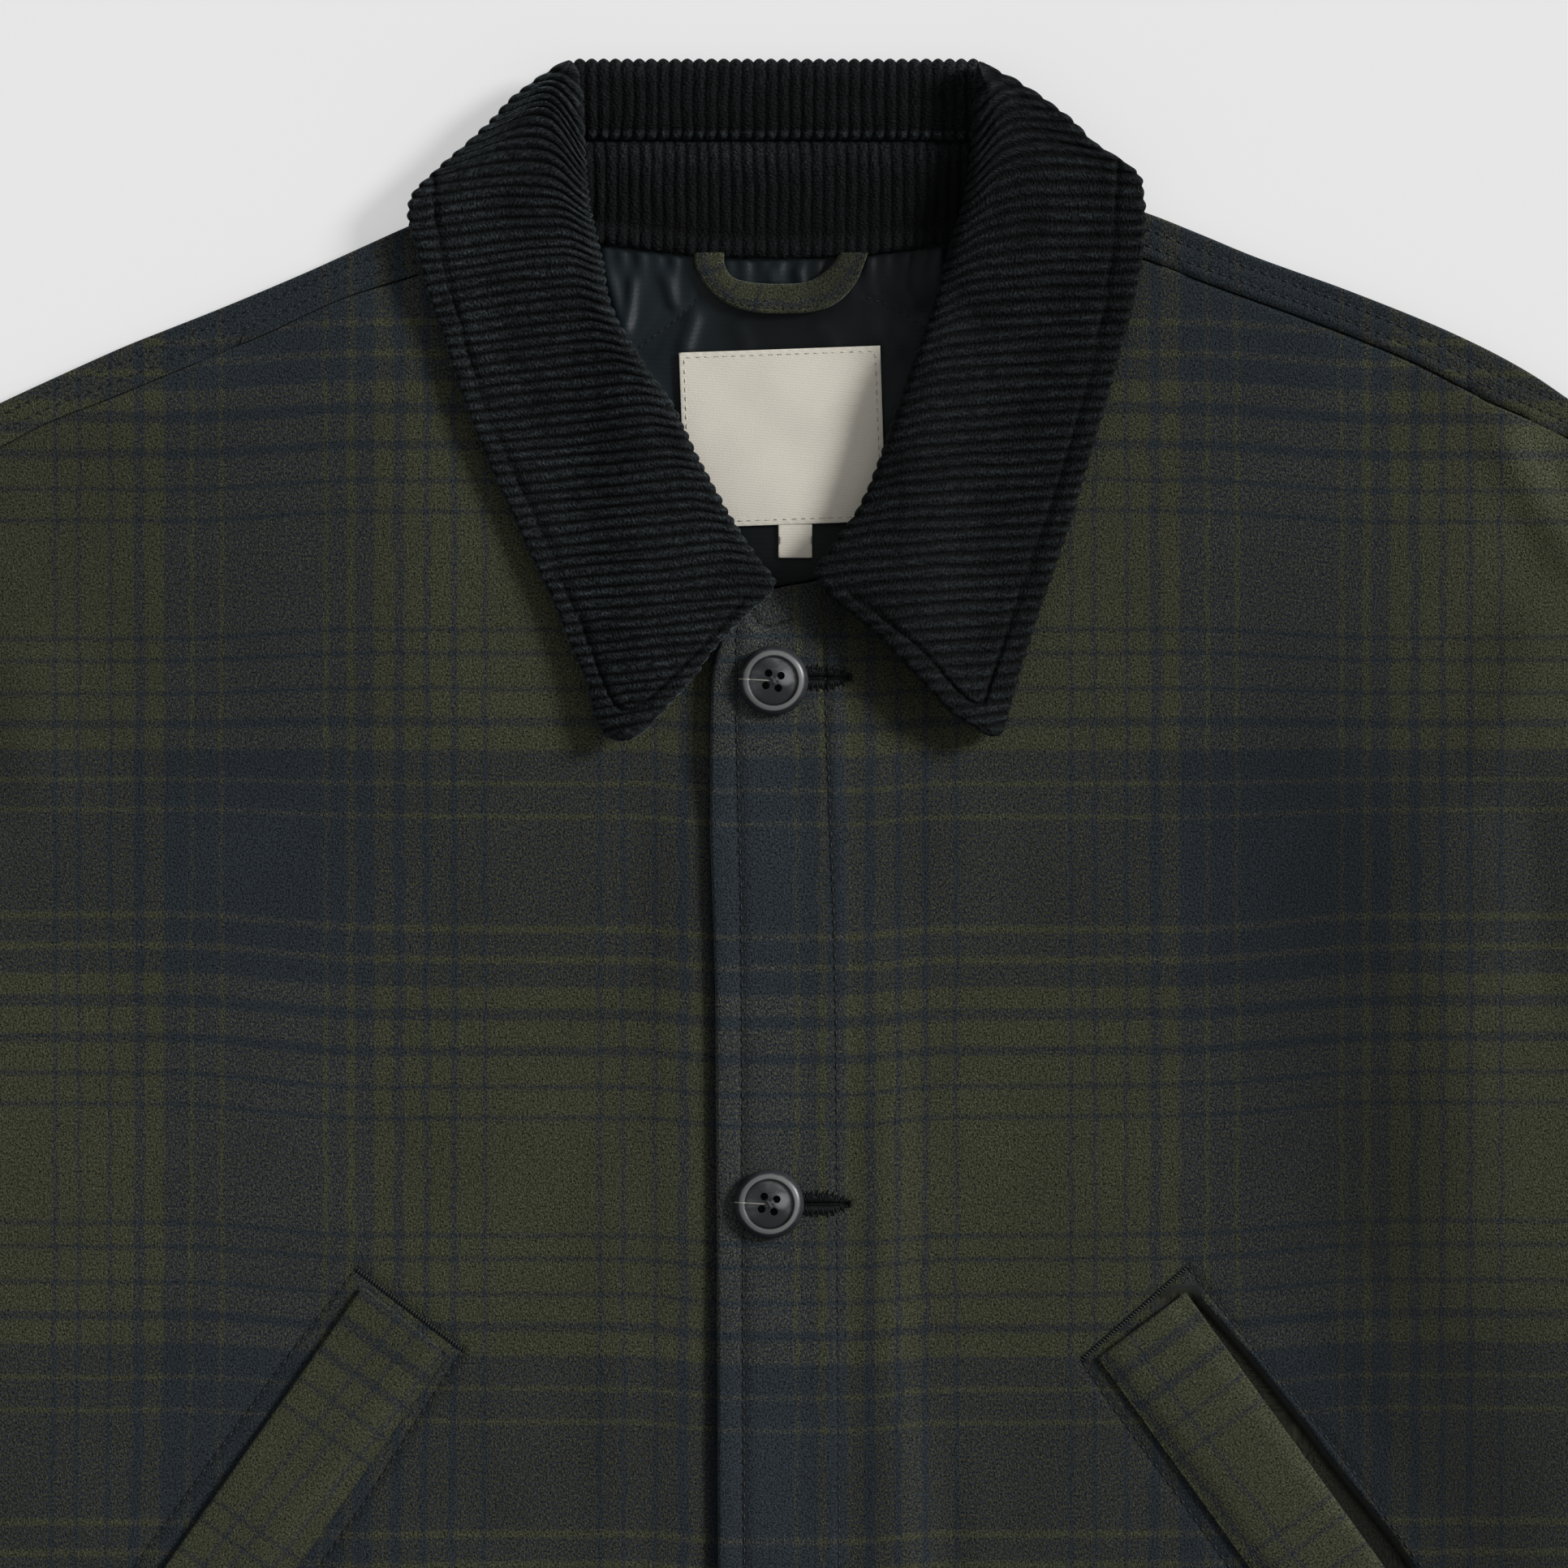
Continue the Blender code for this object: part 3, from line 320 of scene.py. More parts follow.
# Shader helpers
def newFinish(name):
    made = bpy.data.materials.new(name)
    made.use_nodes = True
    return made, made.node_tree, made.node_tree.nodes["Principled BSDF"]


def setSocket(tree, target, value):
    if isinstance(value, bpy.types.NodeSocket):
        tree.links.new(value, target)
    else:
        target.default_value = value


def calc(tree, operation, a, b=0.0, c=None):
    node = tree.nodes.new("ShaderNodeMath")
    node.operation = operation
    setSocket(tree, node.inputs[0], a)
    setSocket(tree, node.inputs[1], b)
    if c is not None:
        setSocket(tree, node.inputs[2], c)
    return node.outputs[0]


def times(tree, *values):
    made = values[0]
    for value in values[1:]:
        made = calc(tree, "MULTIPLY", made, value)
    return made


def plus(tree, a, b):
    return calc(tree, "ADD", a, b)


def offFrom(tree, value, middle):
    return calc(tree, "ABSOLUTE", calc(tree, "SUBTRACT", value, middle))


def joined(tree, x, y, z=0.0):
    node = tree.nodes.new("ShaderNodeCombineXYZ")
    for target, value in zip(node.inputs, (x, y, z)):
        setSocket(tree, target, value)
    return node.outputs[0]


def noise(tree, vector, scale, detail=2.0, roughness=0.5):
    node = tree.nodes.new("ShaderNodeTexNoise")
    node.noise_dimensions = "3D"
    tree.links.new(vector, node.inputs["Vector"])
    node.inputs["Scale"].default_value = scale
    node.inputs["Detail"].default_value = detail
    node.inputs["Roughness"].default_value = roughness
    return node.outputs["Fac"]


# where the values of noise mostly lie: soft, fine and twisted
softRange, fineRange, twistRange = (0.3, 0.7), (0.28, 0.72), (0.35, 0.65)


def spread(tree, value, fromLow, fromHigh, toLow, toHigh, soft=False):
    node = tree.nodes.new("ShaderNodeMapRange")
    node.interpolation_type = "SMOOTHSTEP" if soft else "LINEAR"
    setSocket(tree, node.inputs["Value"], value)
    for key, number in (("From Min", fromLow), ("From Max", fromHigh), ("To Min", toLow),
                        ("To Max", toHigh)):
        node.inputs[key].default_value = number
    return node.outputs["Result"]


def mixColours(tree, share, a, b, blend="MIX"):
    node = tree.nodes.new("ShaderNodeMix")
    node.data_type = "RGBA"
    node.blend_type = blend
    setSocket(tree, node.inputs["Factor"], share)
    for key, value in (("A", a), ("B", b)):
        target = next(s for s in node.inputs if s.name == key and s.type == "RGBA")
        setSocket(tree, target, value if isinstance(value, bpy.types.NodeSocket) else (*value, 1.0))
    return next(s for s in node.outputs if s.type == "RGBA")


def scaled(tree, colour, factor):
    node = tree.nodes.new("ShaderNodeVectorMath")
    node.operation = "SCALE"
    tree.links.new(colour, node.inputs[0])
    tree.links.new(factor, node.inputs["Scale"])
    return node.outputs[0]


def bump(tree, height, distance, strength=1.0):
    node = tree.nodes.new("ShaderNodeBump")
    node.inputs["Strength"].default_value = strength
    node.inputs["Distance"].default_value = distance
    tree.links.new(height, node.inputs["Height"])
    return node.outputs["Normal"]


def attribute(tree, name):
    node = tree.nodes.new("ShaderNodeAttribute")
    node.attribute_name = name
    return node


def axes(tree, vector):
    split = tree.nodes.new("ShaderNodeSeparateXYZ")
    tree.links.new(vector, split.inputs[0])
    return split.outputs[0], split.outputs[1]


def clothPlace(tree):
    # place on the flat cloth in millimetres, its two directions, and the piece's painted light and shade
    cloth = attribute(tree, "cloth").outputs["Vector"]
    shade = attribute(tree, "shade").outputs["Fac"]
    return cloth, *axes(tree, cloth), shade


def setFinish(tree, shader, base, normal, roughness, specular):
    setSocket(tree, shader.inputs["Base Color"], base)
    setSocket(tree, shader.inputs["Roughness"], roughness)
    setSocket(tree, shader.inputs["Specular IOR Level"], specular)
    setSocket(tree, shader.inputs["Normal"], normal)


def setSheen(shader, weight, roughness, tint):
    shader.inputs["Sheen Weight"].default_value = weight
    shader.inputs["Sheen Roughness"].default_value = roughness
    shader.inputs["Sheen Tint"].default_value = (*tint, 1.0)


# Checked wool. Each band and line in millimetres: (middle, width)
woolValues = {
    "warpOlive": (0.0305, 0.0320, 0.0165),
    "weftOlive": (0.0335, 0.0358, 0.0218),
    "mixedTint": (0.955, 0.90, 1.05),  # where olive crosses blue
    "blue": (0.0120, 0.0168, 0.0210),
    "warpRepeat": 167.5,
    "warpBand": 64.5,
    "warpOliveLines": [(8.2, 0.9), (17.5, 1.2), (49.5, 1.1), (57.3, 2.3)],
    "warpBlueLines": [(71.8, 3.5), (80.3, 1.8), (89.0, 1.5), (98.5, 1.1), (133.7, 1.1),
                      (141.0, 1.2), (151.0, 1.4), (159.5, 3.5)],
    "weftRepeat": 186.5,
    "weftBand": 72.5,
    "weftOliveLines": [(9.8, 1.5), (19.8, 1.2), (54.8, 1.8), (64.0, 1.8)],
    "weftBlueLines": [(81.0, 3.2), (92.0, 2.8), (103.0, 1.1), (112.8, 1.3), (149.0, 1.0),
                      (156.5, 1.3), (167.3, 1.8), (177.3, 3.0)],
    "fuzz": (3.4, 0.75),   # how fine and how far the edges of bands are uneven
    "drift": (0.09, 0.6),  # the same for slow waves of the yarns
    "fleckLean": (2.1, -0.5, 1.05),
    "twill": (4.6, 0.04),
    "weave": (0.95, 0.05),
    "grain": (1.5, 2.6),
    "worn": (0.03, 0.93, 1.07),
    "nap": (0.0007, 0.5),
    "fleckHeight": 0.7,
    "roughness": 0.95,
    "specular": 0.15,
    "sheen": 0.12,
    "sheenRoughness": 0.5,
    "sheenTint": (0.75, 0.8, 0.75),
}


def stripeRamp(tree, place, direction):
    # 1 where the yarn is blue, 0 where it is olive
    repeat, band, oliveLines, blueLines = (woolValues[direction + key] for key in
                                           ("Repeat", "Band", "OliveLines", "BlueLines"))
    stops = [(0.0, 1.0)]
    for centre, width in oliveLines:
        stops += [(centre - 0.5 * width, 0.0), (centre + 0.5 * width, 1.0)]
    stops.append((band, 0.0))
    for centre, width in blueLines:
        stops += [(centre - 0.5 * width, 1.0), (centre + 0.5 * width, 0.0)]
    node = tree.nodes.new("ShaderNodeValToRGB")
    ramp = node.color_ramp
    ramp.interpolation = "CONSTANT"
    while len(ramp.elements) < len(stops):
        ramp.elements.new(1.0)
    for element, (at, value) in zip(ramp.elements, stops):
        element.position = at / repeat
        element.color = (value, value, value, 1.0)
    turn = calc(tree, "FRACT", calc(tree, "DIVIDE", place, repeat))
    tree.links.new(turn, node.inputs["Fac"])
    return node.outputs["Color"]


def woolFinish(name):
    values = woolValues
    made, tree, shader = newFinish(name)
    cloth, u, v, shade = clothPlace(tree)
    fuzzScale, fuzzReach = values["fuzz"]
    fuzz = noise(tree, cloth, fuzzScale, 1.0)
    fuzzOther = noise(tree, joined(tree, v, u, 7.0), fuzzScale, 1.0)
    driftScale, driftReach = values["drift"]
    drift = noise(tree, cloth, driftScale, 2.0)
    uMoved = plus(tree, u, spread(tree, fuzz, *softRange, -fuzzReach, fuzzReach))
    uMoved = plus(tree, uMoved, spread(tree, drift, *softRange, -driftReach, driftReach))
    vMoved = plus(tree, v, spread(tree, fuzzOther, *softRange, -fuzzReach, fuzzReach))
    warp = stripeRamp(tree, uMoved, "warp")
    weft = stripeRamp(tree, vMoved, "weft")
    leanU, leanV, stretch = values["fleckLean"]
    lean = plus(tree, times(tree, u, leanU), times(tree, v, leanV))
    fleck = noise(tree, joined(tree, lean, times(tree, v, stretch)), 1.0, 0.0)
    twillScale, twillShare = values["twill"]
    twill = calc(tree, "SINE", times(tree, plus(tree, u, v), twillScale))
    fleck = plus(tree, fleck, times(tree, twill, twillShare))
    weave = spread(tree, fleck, 0.40, 0.60, *values["weave"], True)
    warpColour = mixColours(tree, warp, values["warpOlive"], values["blue"])
    weftColour = mixColours(tree, weft, values["weftOlive"], values["blue"])
    base = mixColours(tree, weave, warpColour, weftColour)
    mixed = mixColours(tree, 1.0, warp, weft, "DIFFERENCE")
    tinted = mixColours(tree, 1.0, base, values["mixedTint"], "MULTIPLY")
    base = mixColours(tree, mixed, base, tinted)
    coarseScale, fineScale = values["grain"]
    coarse = noise(tree, cloth, coarseScale, 0.0)
    fine = noise(tree, joined(tree, v, u, 3.0), fineScale, 0.0)
    grain = plus(tree, times(tree, coarse, 0.5), times(tree, fine, 0.5))
    value = spread(tree, grain, *fineRange, 0.0, 2.0)
    wornScale, wornLow, wornHigh = values["worn"]
    worn = spread(tree, noise(tree, cloth, wornScale, 2.0), *softRange, wornLow, wornHigh)
    # painted light and shade from the shade attribute
    base = scaled(tree, base, times(tree, value, worn, shade))
    height = plus(tree, grain, times(tree, fleck, values["fleckHeight"]))
    setFinish(tree, shader, base, bump(tree, height, *values["nap"]), values["roughness"],
              values["specular"])
    setSheen(shader, values["sheen"], values["sheenRoughness"], values["sheenTint"])
    return made


# Corduroy: near-black valleys between ridges of cut pile, partly painted shade
corduroyValues = {
    "valley": (0.0006, 0.0007, 0.0008),
    "ridge": (0.0095, 0.0118, 0.0130),
    "pile": (1.5, 1.1),
    "pileTone": (0.15, 2.0),
    "streak": (0.30, 0.9),
    "streakTone": (0.45, 1.6),
    "brushed": 0.07,
    "brushedTone": (0.55, 1.45),
    "crest": 1.6,
    "nap": (0.0006, 0.9),
    "roughness": 0.75,
    "specular": 0.08,
    "sheen": 0.20,
    "sheenRoughness": 0.35,
    "sheenTint": (0.50, 0.62, 0.66),
    # painted light and shade: a gain on the ridge colour of each part, as that part faces the light, and
    # its share of the sheen
    "left": (1.2, 1.15),
    "right": (0.60, 0.18),
    "back": (0.74, 0.22),
}


def corduroyFinish(name, part):
    values = corduroyValues
    gain, sheen = values[part]
    made, tree, shader = newFinish(name)
    cloth, along, across, shade = clothPlace(tree)
    pileAlong, pileAcross = values["pile"]
    pile = noise(tree, joined(tree, times(tree, along, pileAlong),
                              times(tree, across, pileAcross)), 1.0, 0.5)
    streakAlong, streakAcross = values["streak"]
    streak = noise(tree, joined(tree, times(tree, along, streakAlong),
                                times(tree, across, streakAcross), 5.0), 1.0, 1.0)
    brushed = noise(tree, cloth, values["brushed"], 3.0, 0.6)
    # the shade attribute picks valley or ridge colour: painted shade between the ridges and on their
    # sides
    base = mixColours(tree, calc(tree, "POWER", shade, values["crest"]), values["valley"],
                      tuple(gain * c for c in values["ridge"]))
    value = times(tree, spread(tree, pile, *fineRange, *values["pileTone"]),
                  spread(tree, brushed, *softRange, *values["brushedTone"]),
                  spread(tree, streak, *softRange, *values["streakTone"]))
    setFinish(tree, shader, scaled(tree, base, value), bump(tree, pile, *values["nap"]),
              values["roughness"], values["specular"])
    setSheen(shader, values["sheen"] * sheen, values["sheenRoughness"], values["sheenTint"])
    return made


# Fine woven satins: colour, width of a rib in millimetres, and how uneven the colour is
satinValues = {
    "lining": {"colour": (0.0068, 0.0114, 0.0138), "roughness": 0.38, "ribs": 0.30,
               "specular": 0.19, "speckle": 0.14},
    "label": {"colour": (0.60, 0.565, 0.49), "roughness": 0.60, "ribs": 0.36,
              "specular": 0.25, "speckle": 0.04},
    "nap": (0.00012, 0.6),
}


def satinFinish(name, kind):
    values = satinValues[kind]
    made, tree, shader = newFinish(name)
    cloth, _, across, shade = clothPlace(tree)
    rib = calc(tree, "SINE", times(tree, across, 2.0 * math.pi / values["ribs"]))
    grain = noise(tree, cloth, 2.2, 2.0, 0.6)
    stain = noise(tree, cloth, 0.05, 2.0)
    speckle = values["speckle"]
    # painted shade from the shade attribute
    value = times(tree, spread(tree, grain, *softRange, 1.0 - speckle, 1.0 + speckle),
                  spread(tree, stain, *softRange, 0.96, 1.04), shade)
    base = scaled(tree, mixColours(tree, 0.0, values["colour"], values["colour"]), value)
    height = plus(tree, times(tree, rib, 0.4), grain)
    setFinish(tree, shader, base, bump(tree, height, *satinValues["nap"]), values["roughness"],
              values["specular"])
    return made


# Threads: colour and gloss of each kind
threadValues = {
    "seam": ((0.0075, 0.0090, 0.0100), 0.3),
    "hole": ((0.0034, 0.0038, 0.0044), 0.12),
    "button": ((0.040, 0.044, 0.045), 0.3),
    "label": ((0.42, 0.38, 0.31), 0.3),
    "fine": 1500.0,
    "dark": 0.5,
    "pale": 1.5,
    "nap": (0.0001, 0.5),
    "roughness": 0.55,
}


def threadFinish(name, kind):
    values = threadValues
    colour, gloss = values[kind]
    made, tree, shader = newFinish(name)
    place = tree.nodes.new("ShaderNodeTexCoord").outputs["Object"]
    twist = noise(tree, place, values["fine"], 1.0)
    base = mixColours(tree, spread(tree, twist, *twistRange, 0.0, 1.0),
                      tuple(values["dark"] * c for c in colour),
                      tuple(values["pale"] * c for c in colour))
    setFinish(tree, shader, base, bump(tree, twist, *values["nap"]), values["roughness"], gloss)
    return made


wool = woolFinish("checked_wool")
# copies of the corduroy, made lighter or darker by painted light and shade
corduroyLeft = corduroyFinish("corduroy_left_painted_light", "left")
corduroyRight = corduroyFinish("corduroy_right_painted_shade", "right")
corduroyBack = corduroyFinish("corduroy_back_painted_shade", "back")
liningSatin = satinFinish("lining_satin", "lining")
labelSatin = satinFinish("label_satin", "label")
darkThread = threadFinish("dark_thread", "seam")
holeThread = threadFinish("buttonhole_thread", "hole")
greyThread = threadFinish("button_thread", "button")
palestThread = threadFinish("label_thread", "label")
print("materials made")

# Stitches: short raised threads along a line that lies on a surface
stitchValues = {
    "length": 2.4,
    "gap": 1.0,
    "radius": 0.30,
    "lift": 0.12,
    "sides": 6,
    # places along a stitch, with its height and its thickness there as shares of its radius
    "shares": (0.0, 0.18, 0.5, 0.82, 1.0),
    "heights": (-1.2, 0.0, 0.35, 0.0, -1.2),
    "thickness": (0.5, 1.0, 1.1, 1.0, 0.5),
}


def stitchRow(store, line, surfaceAt, length=stitchValues["length"], gap=stitchValues["gap"],
              radius=stitchValues["radius"], lift=stitchValues["lift"]):
    line = np.asarray(line, float)
    runs = lengthsAlong(line)
    count = max(1, int(runs[-1] / (length + gap)))
    pitch = runs[-1] / count
    begins = np.arange(count) * pitch + 0.5 * (pitch - length)
    places = (begins[:, None] + length * np.array(stitchValues["shares"])).ravel()
    flat = pointsAlong(line, runs, places)
    heights = surfaceAt(flat) + lift + radius * np.tile(stitchValues["heights"], count)
    for path in np.column_stack([flat, heights]).reshape(count, -1, 3):
        addTube(store, path, radius * np.array(stitchValues["thickness"]))


def addTube(store, path, radii):
    sides = stitchValues["sides"]
    base = len(store["points"]) * sides
    run = path[-1] - path[0]
    run = run / max(np.linalg.norm(run), 1e-9)
    side = np.cross(run, (0.0, 0.0, 1.0))
    side = side / max(np.linalg.norm(side), 1e-9)
    up = np.cross(side, run)
    for centre, radius in zip(path, radii):
        turns = 2.0 * np.pi * np.arange(sides) / sides
        store["points"].append(centre + radius * (np.outer(np.cos(turns), side)
                                                  + np.outer(np.sin(turns), up)))
    rings = len(path)
    for r in range(rings - 1):
        for i in range(sides):
            j = (i + 1) % sides
            store["faces"].append((base + r * sides + i, base + r * sides + j,
                                   base + (r + 1) * sides + j, base + (r + 1) * sides + i))
    store["faces"].append(tuple(base + i for i in reversed(range(sides))))
    store["faces"].append(tuple(base + (rings - 1) * sides + i for i in range(sides)))


def newStore():
    return {"points": [], "faces": []}


def threadPiece(name, store, finish):
    return addMesh(name, np.vstack(store["points"]), store["faces"], finish)


# Body: heights in millimetres above the floor, as laid
bodyValues = {
    "backTop": 2.2,
    "frontFloor": 2.5,
    "frontTop": 4.9,
    "bandFloor": 5.2,
    "cloth": 2.4,
    "bandCloth": 4.4,
    "bandHalf": 18.0,
    "bandBlend": 3.0,
    "settle": 44.0,
    "groove": (0.6, 0.8),
    # each fold: x and y of its start and end, half width, height (a trough if negative)
    "folds": [
        (34.5, -190.0, 33.5, -660.0, 8.0, 2.2), (-47.0, -240.0, -50.0, -640.0, 10.0, 1.3),
        (66.0, -520.0, 74.0, -690.0, 15.0, 3.0), (-92.0, -540.0, -98.0, -690.0, 17.0, 3.2),
        (236.0, -108.0, 222.0, -185.0, 14.0, 3.0), (218.0, -58.0, 252.0, -116.0, 7.0, 2.4),
        (-238.0, -120.0, -226.0, -190.0, 15.0, 2.6), (272.0, -330.0, 264.0, -560.0, 11.0, 2.4),
        (-273.0, -340.0, -266.0, -580.0, 11.0, 2.6), (150.0, -560.0, 160.0, -690.0, 16.0, 2.6),
        (-178.0, -570.0, -186.0, -690.0, 15.0, 2.4), (38.0, -345.0, 42.0, -470.0, 5.0, 1.4),
        (52.0, -360.0, 58.0, -520.0, 6.0, -1.0), (228.0, -140.0, 238.0, -260.0, 8.0, -1.2),
        (150.0, -300.0, 215.0, -400.0, 10.0, 0.7), (-120.0, -300.0, -60.0, -420.0, 14.0, 0.6),
        (205.0, -150.0, 214.0, -330.0, 20.0, 2.4), (90.0, -240.0, 96.0, -420.0, 18.0, 0.6),
        (-180.0, -150.0, -172.0, -330.0, 20.0, 0.7),
    ],
    # the under front swells beside the turned edge that lies on it
    "swell": {"height": 1.7, "start": 18.2, "rise": 4.5, "end": 46.0, "fall": 18.0,
              "from": 165.0, "fade": 25.0},
    # how much higher the check runs towards the sides, at the top and further down
    "droop": {"high": -3.3, "low": 4.1, "from": 110.0, "fade": 110.0, "side": 125.0,
              "sideFade": 62.0},
    # place on the cloth of the neck point: warp on the left, warp on the right, weft
    "phase": (188.5, -124.0, -163.5),
    # how far the check sags beside the front edge and over the shoulders
    "sag": {"under": 1.8, "upper": 2.2, "back": 3.0},
    "lean": 1.6,
    # size of the soft bumps, their height and their own seed
    "uneven": [(60.0, 0.45, 4), (19.0, 0.16, 5)],
    "stripGroove": (0.5, 0.8),
    "stripAbove": 0.25,
}
backNeck = [(85.0, 9.0), (70.0, -0.8), (55.0, -6.8), (25.0, -10.6), (0.0, -11.4)]
shoulderSeam = {
    -1: [(80.0, -6.0), (110.5, -17.0), (134.0, -24.5), (158.0, -35.5), (186.8, -47.5),
         (205.8, -55.3), (225.0, -62.8), (239.0, -70.0), (262.0, -82.0)],
    1: [(80.0, -3.0), (112.8, -11.8), (132.0, -19.3), (160.8, -29.8), (179.8, -37.0),
        (199.0, -45.3), (218.0, -55.3), (243.8, -67.3), (262.0, -82.0)],
}
# stitch lines of the turned edge, and the stitched frames of the two pockets
bandStitches = {
    "left": [(-9.5, -118.5), (-12.3, -128.0), (-12.4, -152.0), (-11.3, -195.0), (-10.7, -232.0),
             (-10.0, -415.0), (-9.6, -698.0)],
    "right": [(14.6, -113.0), (15.0, -147.0), (16.6, -190.0), (18.0, -232.0), (18.6, -300.0),
              (19.2, -415.0), (19.6, -698.0)],
}
pocketFrames = {
    -1: {"outer": [(-129.5, -323.3), (-145.8, -344.3), (-166.8, -372.5), (-194.8, -411.0),
                   (-228.0, -457.5)],
         "inner": [(-96.5, -348.3), (-112.3, -372.5), (-126.3, -394.3), (-140.5, -414.5),
                   (-188.0, -482.0)],
         "end": [(-129.5, -323.3), (-96.5, -348.3)]},
    1: {"outer": [(126.3, -322.5), (154.0, -356.5), (176.8, -384.8), (198.8, -415.3),
                  (230.0, -457.0)],
        "inner": [(93.8, -351.0), (103.0, -365.0), (117.0, -384.0), (139.0, -414.5),
                  (186.5, -481.0)],
        "end": [(126.3, -322.5), (93.8, -351.0)]},
}


def seamGrooves(points, lines, depth, width):
    total = np.zeros(len(points))
    for line in lines:
        off = lineDistance(points, np.asarray(line, float)) / width
        total += depth * np.exp(-off * off)
    return total


frameLines = {side: [curveThrough(pocketFrames[side][key], 8.0) for key in ("outer", "inner", "end")]
              for side in (-1, 1)}
bandLines = [curveThrough(bandStitches[key], 20.0) for key in ("left", "right")]
hemLines = {side: curveThrough([(side * 22.5, -675.0), (side * 150.0, -674.0), (side * 292.0, -667.0)],
                               20.0) for side in (-1, 1)}
neckStitch = curveThrough([(-9.0, -119.0), (-3.8, -125.3), (4.3, -123.5)], 2.0)
stripRise = (4.0, 9.0)
stripLines = []
for side in (-1, 1):
    seam = curveThrough([(side * x, y) for x, y in shoulderSeam[side] if x > 100.0], 8.0)
    stripLines += [seam + np.array([0.0, rise]) for rise in stripRise]
holeRows = (-141.3, -303.0, -463.8, -624.5)
holeLines = [np.array([(7.0, y), (21.5, y)]) for y in holeRows]
underGrooves = frameLines[-1] + [hemLines[-1]]
upperGrooves = frameLines[1] + bandLines + [hemLines[1], neckStitch]
upperSewn = frameLines[1] + bandLines + holeLines + [hemLines[1], neckStitch]

# Opening of the right pocket: the line of its lip, then depths, painted shade inside it and painted
# light on its lip
lipLine = curveThrough([(127.0, -328.5), (130.25, -332.5), (139.25, -342.5), (147.75, -352.5),
                        (155.75, -362.5), (163.75, -372.5), (171.25, -382.5), (179.25, -392.5),
                        (187.25, -402.5), (192.75, -410.0), (221.5, -451.0)], 4.0)
lipLines = [lipLine + np.array([offset, 0.0]) for offset in (0.0, -1.8, -4.2, 1.0)]
openingValues = {
    "top": 328.0,
    "topFade": 4.0,
    "bottom": 453.0,
    "bottomFade": 6.0,
    "depth": 1.6,
    "reach": 12.0,
    "lipHeight": 0.75,
    "lipAway": 2.0,
    "lipWidth": 1.3,
    "lipLight": 0.2,
    "lightNear": 0.14,
    "lightFar": 0.27,
    "darkFrom": 375.0,
    "darkFade": 30.0,
    "shadeReach": 14.0,
}


def lipAway(points):
    # how far a point lies inside the lip
    return np.interp(-points[:, 1], -lipLine[:, 1], lipLine[:, 0]) - points[:, 0]


def openingReach(points):
    values, down = openingValues, -points[:, 1]
    return (smooth((down - values["top"]) / values["topFade"])
            * smooth((values["bottom"] - down) / values["bottomFade"]))


def lipRidge(points):
    off = (lipAway(points) + openingValues["lipAway"]) / openingValues["lipWidth"]
    return np.exp(-off ** 2)


def openingDepth(points):
    values, away = openingValues, lipAway(points)
    inside = smooth((away + 0.2) / 0.7) * smooth((values["reach"] - away) / 4.0)
    return openingReach(points) * (values["depth"] * inside
                                   - values["lipHeight"] * lipRidge(points))


def openingShade(points):
    # painted shade inside the opening, darkest next to the lip and lower down, and painted light on the
    # lip
    values, away = openingValues, lipAway(points)
    far = mix(values["lightFar"], values["lightNear"],
              smooth((-points[:, 1] - values["darkFrom"]) / values["darkFade"]))
    inside = mix(values["lightNear"], far, smooth((away - 0.8) / 3.2))
    share = (openingReach(points) * smooth((away + 0.35) / 0.7)
             * smooth((values["shadeReach"] - away) / 3.0))
    lip = lipRidge(points) * openingReach(points)
    return mix(1.0, inside, share) * (1.0 + values["lipLight"] * lip)


def grooveLines(outline, lines, width=0.9, step=1.6):
    # mesh lines along the bottom and both sides of every stitch groove
    closed = np.vstack([outline, outline[:1]])
    found = []
    for line in lines:
        centre = evenly(line, step)
        run = np.gradient(centre, axis=0)
        across = np.column_stack([-run[:, 1], run[:, 0]]) / np.linalg.norm(run, axis=1)[:, None]
        for offset in (-width, 0.0, width):
            moved = centre + across * offset
            keep = insideOutline(moved, outline) & (lineDistance(moved, closed) > 1.6)
            part = []
            for point, kept in zip(moved, keep):
                if kept:
                    part.append(point)
                if (not kept or point is moved[-1]) and len(part) > 1:
                    found.append(np.array(part))
                if not kept:
                    part = []
            if len(part) > 1:
                found.append(np.array(part))
    return found


def frontRelief(points):
    uneven = sum(height * softNoise(points, size, seed)
                 for size, height, seed in bodyValues["uneven"])
    return foldHeights(points, bodyValues["folds"]) + uneven


def underTop(points):
    x, down, values = points[:, 0], -points[:, 1], bodyValues["swell"]
    swell = (values["height"] * smooth((-x - values["start"]) / values["rise"])
             * smooth((values["end"] + x) / values["fall"]))
    return (bodyValues["frontTop"] + frontRelief(points)
            + swell * smooth((down - values["from"]) / values["fade"])
            - seamGrooves(points, underGrooves, *bodyValues["groove"]))


def upperFloor(points):
    half = bodyValues["bandHalf"]
    settle = smooth((points[:, 0] - half - 2.0) / (bodyValues["settle"] - half - 2.0))
    return mix(bodyValues["bandFloor"], bodyValues["frontFloor"], settle)


def upperTop(points):
    double = 1.0 - smooth((points[:, 0] - bodyValues["bandHalf"]) / bodyValues["bandBlend"])
    top = upperFloor(points) + mix(bodyValues["cloth"], bodyValues["bandCloth"], double)
    flat = 1.0 - 0.75 * double
    return (top + frontRelief(points) * flat - openingDepth(points)
            - seamGrooves(points, upperSewn, *bodyValues["groove"]))


def droop(points):
    x, down, values = points[:, 0], -points[:, 1], bodyValues["droop"]
    rise = mix(values["high"], values["low"], smooth((down - values["from"]) / values["fade"]))
    return (rise * smooth((np.abs(x) - values["side"]) / values["sideFade"])
            + 0.5 * softNoise(points, 70.0, 8))


def bodyCloth(points, warpPhase, sag):
    weftPhase = bodyValues["phase"][2]
    return np.column_stack([points[:, 0] + warpPhase,
                            -points[:, 1] + weftPhase + droop(points) - sag])


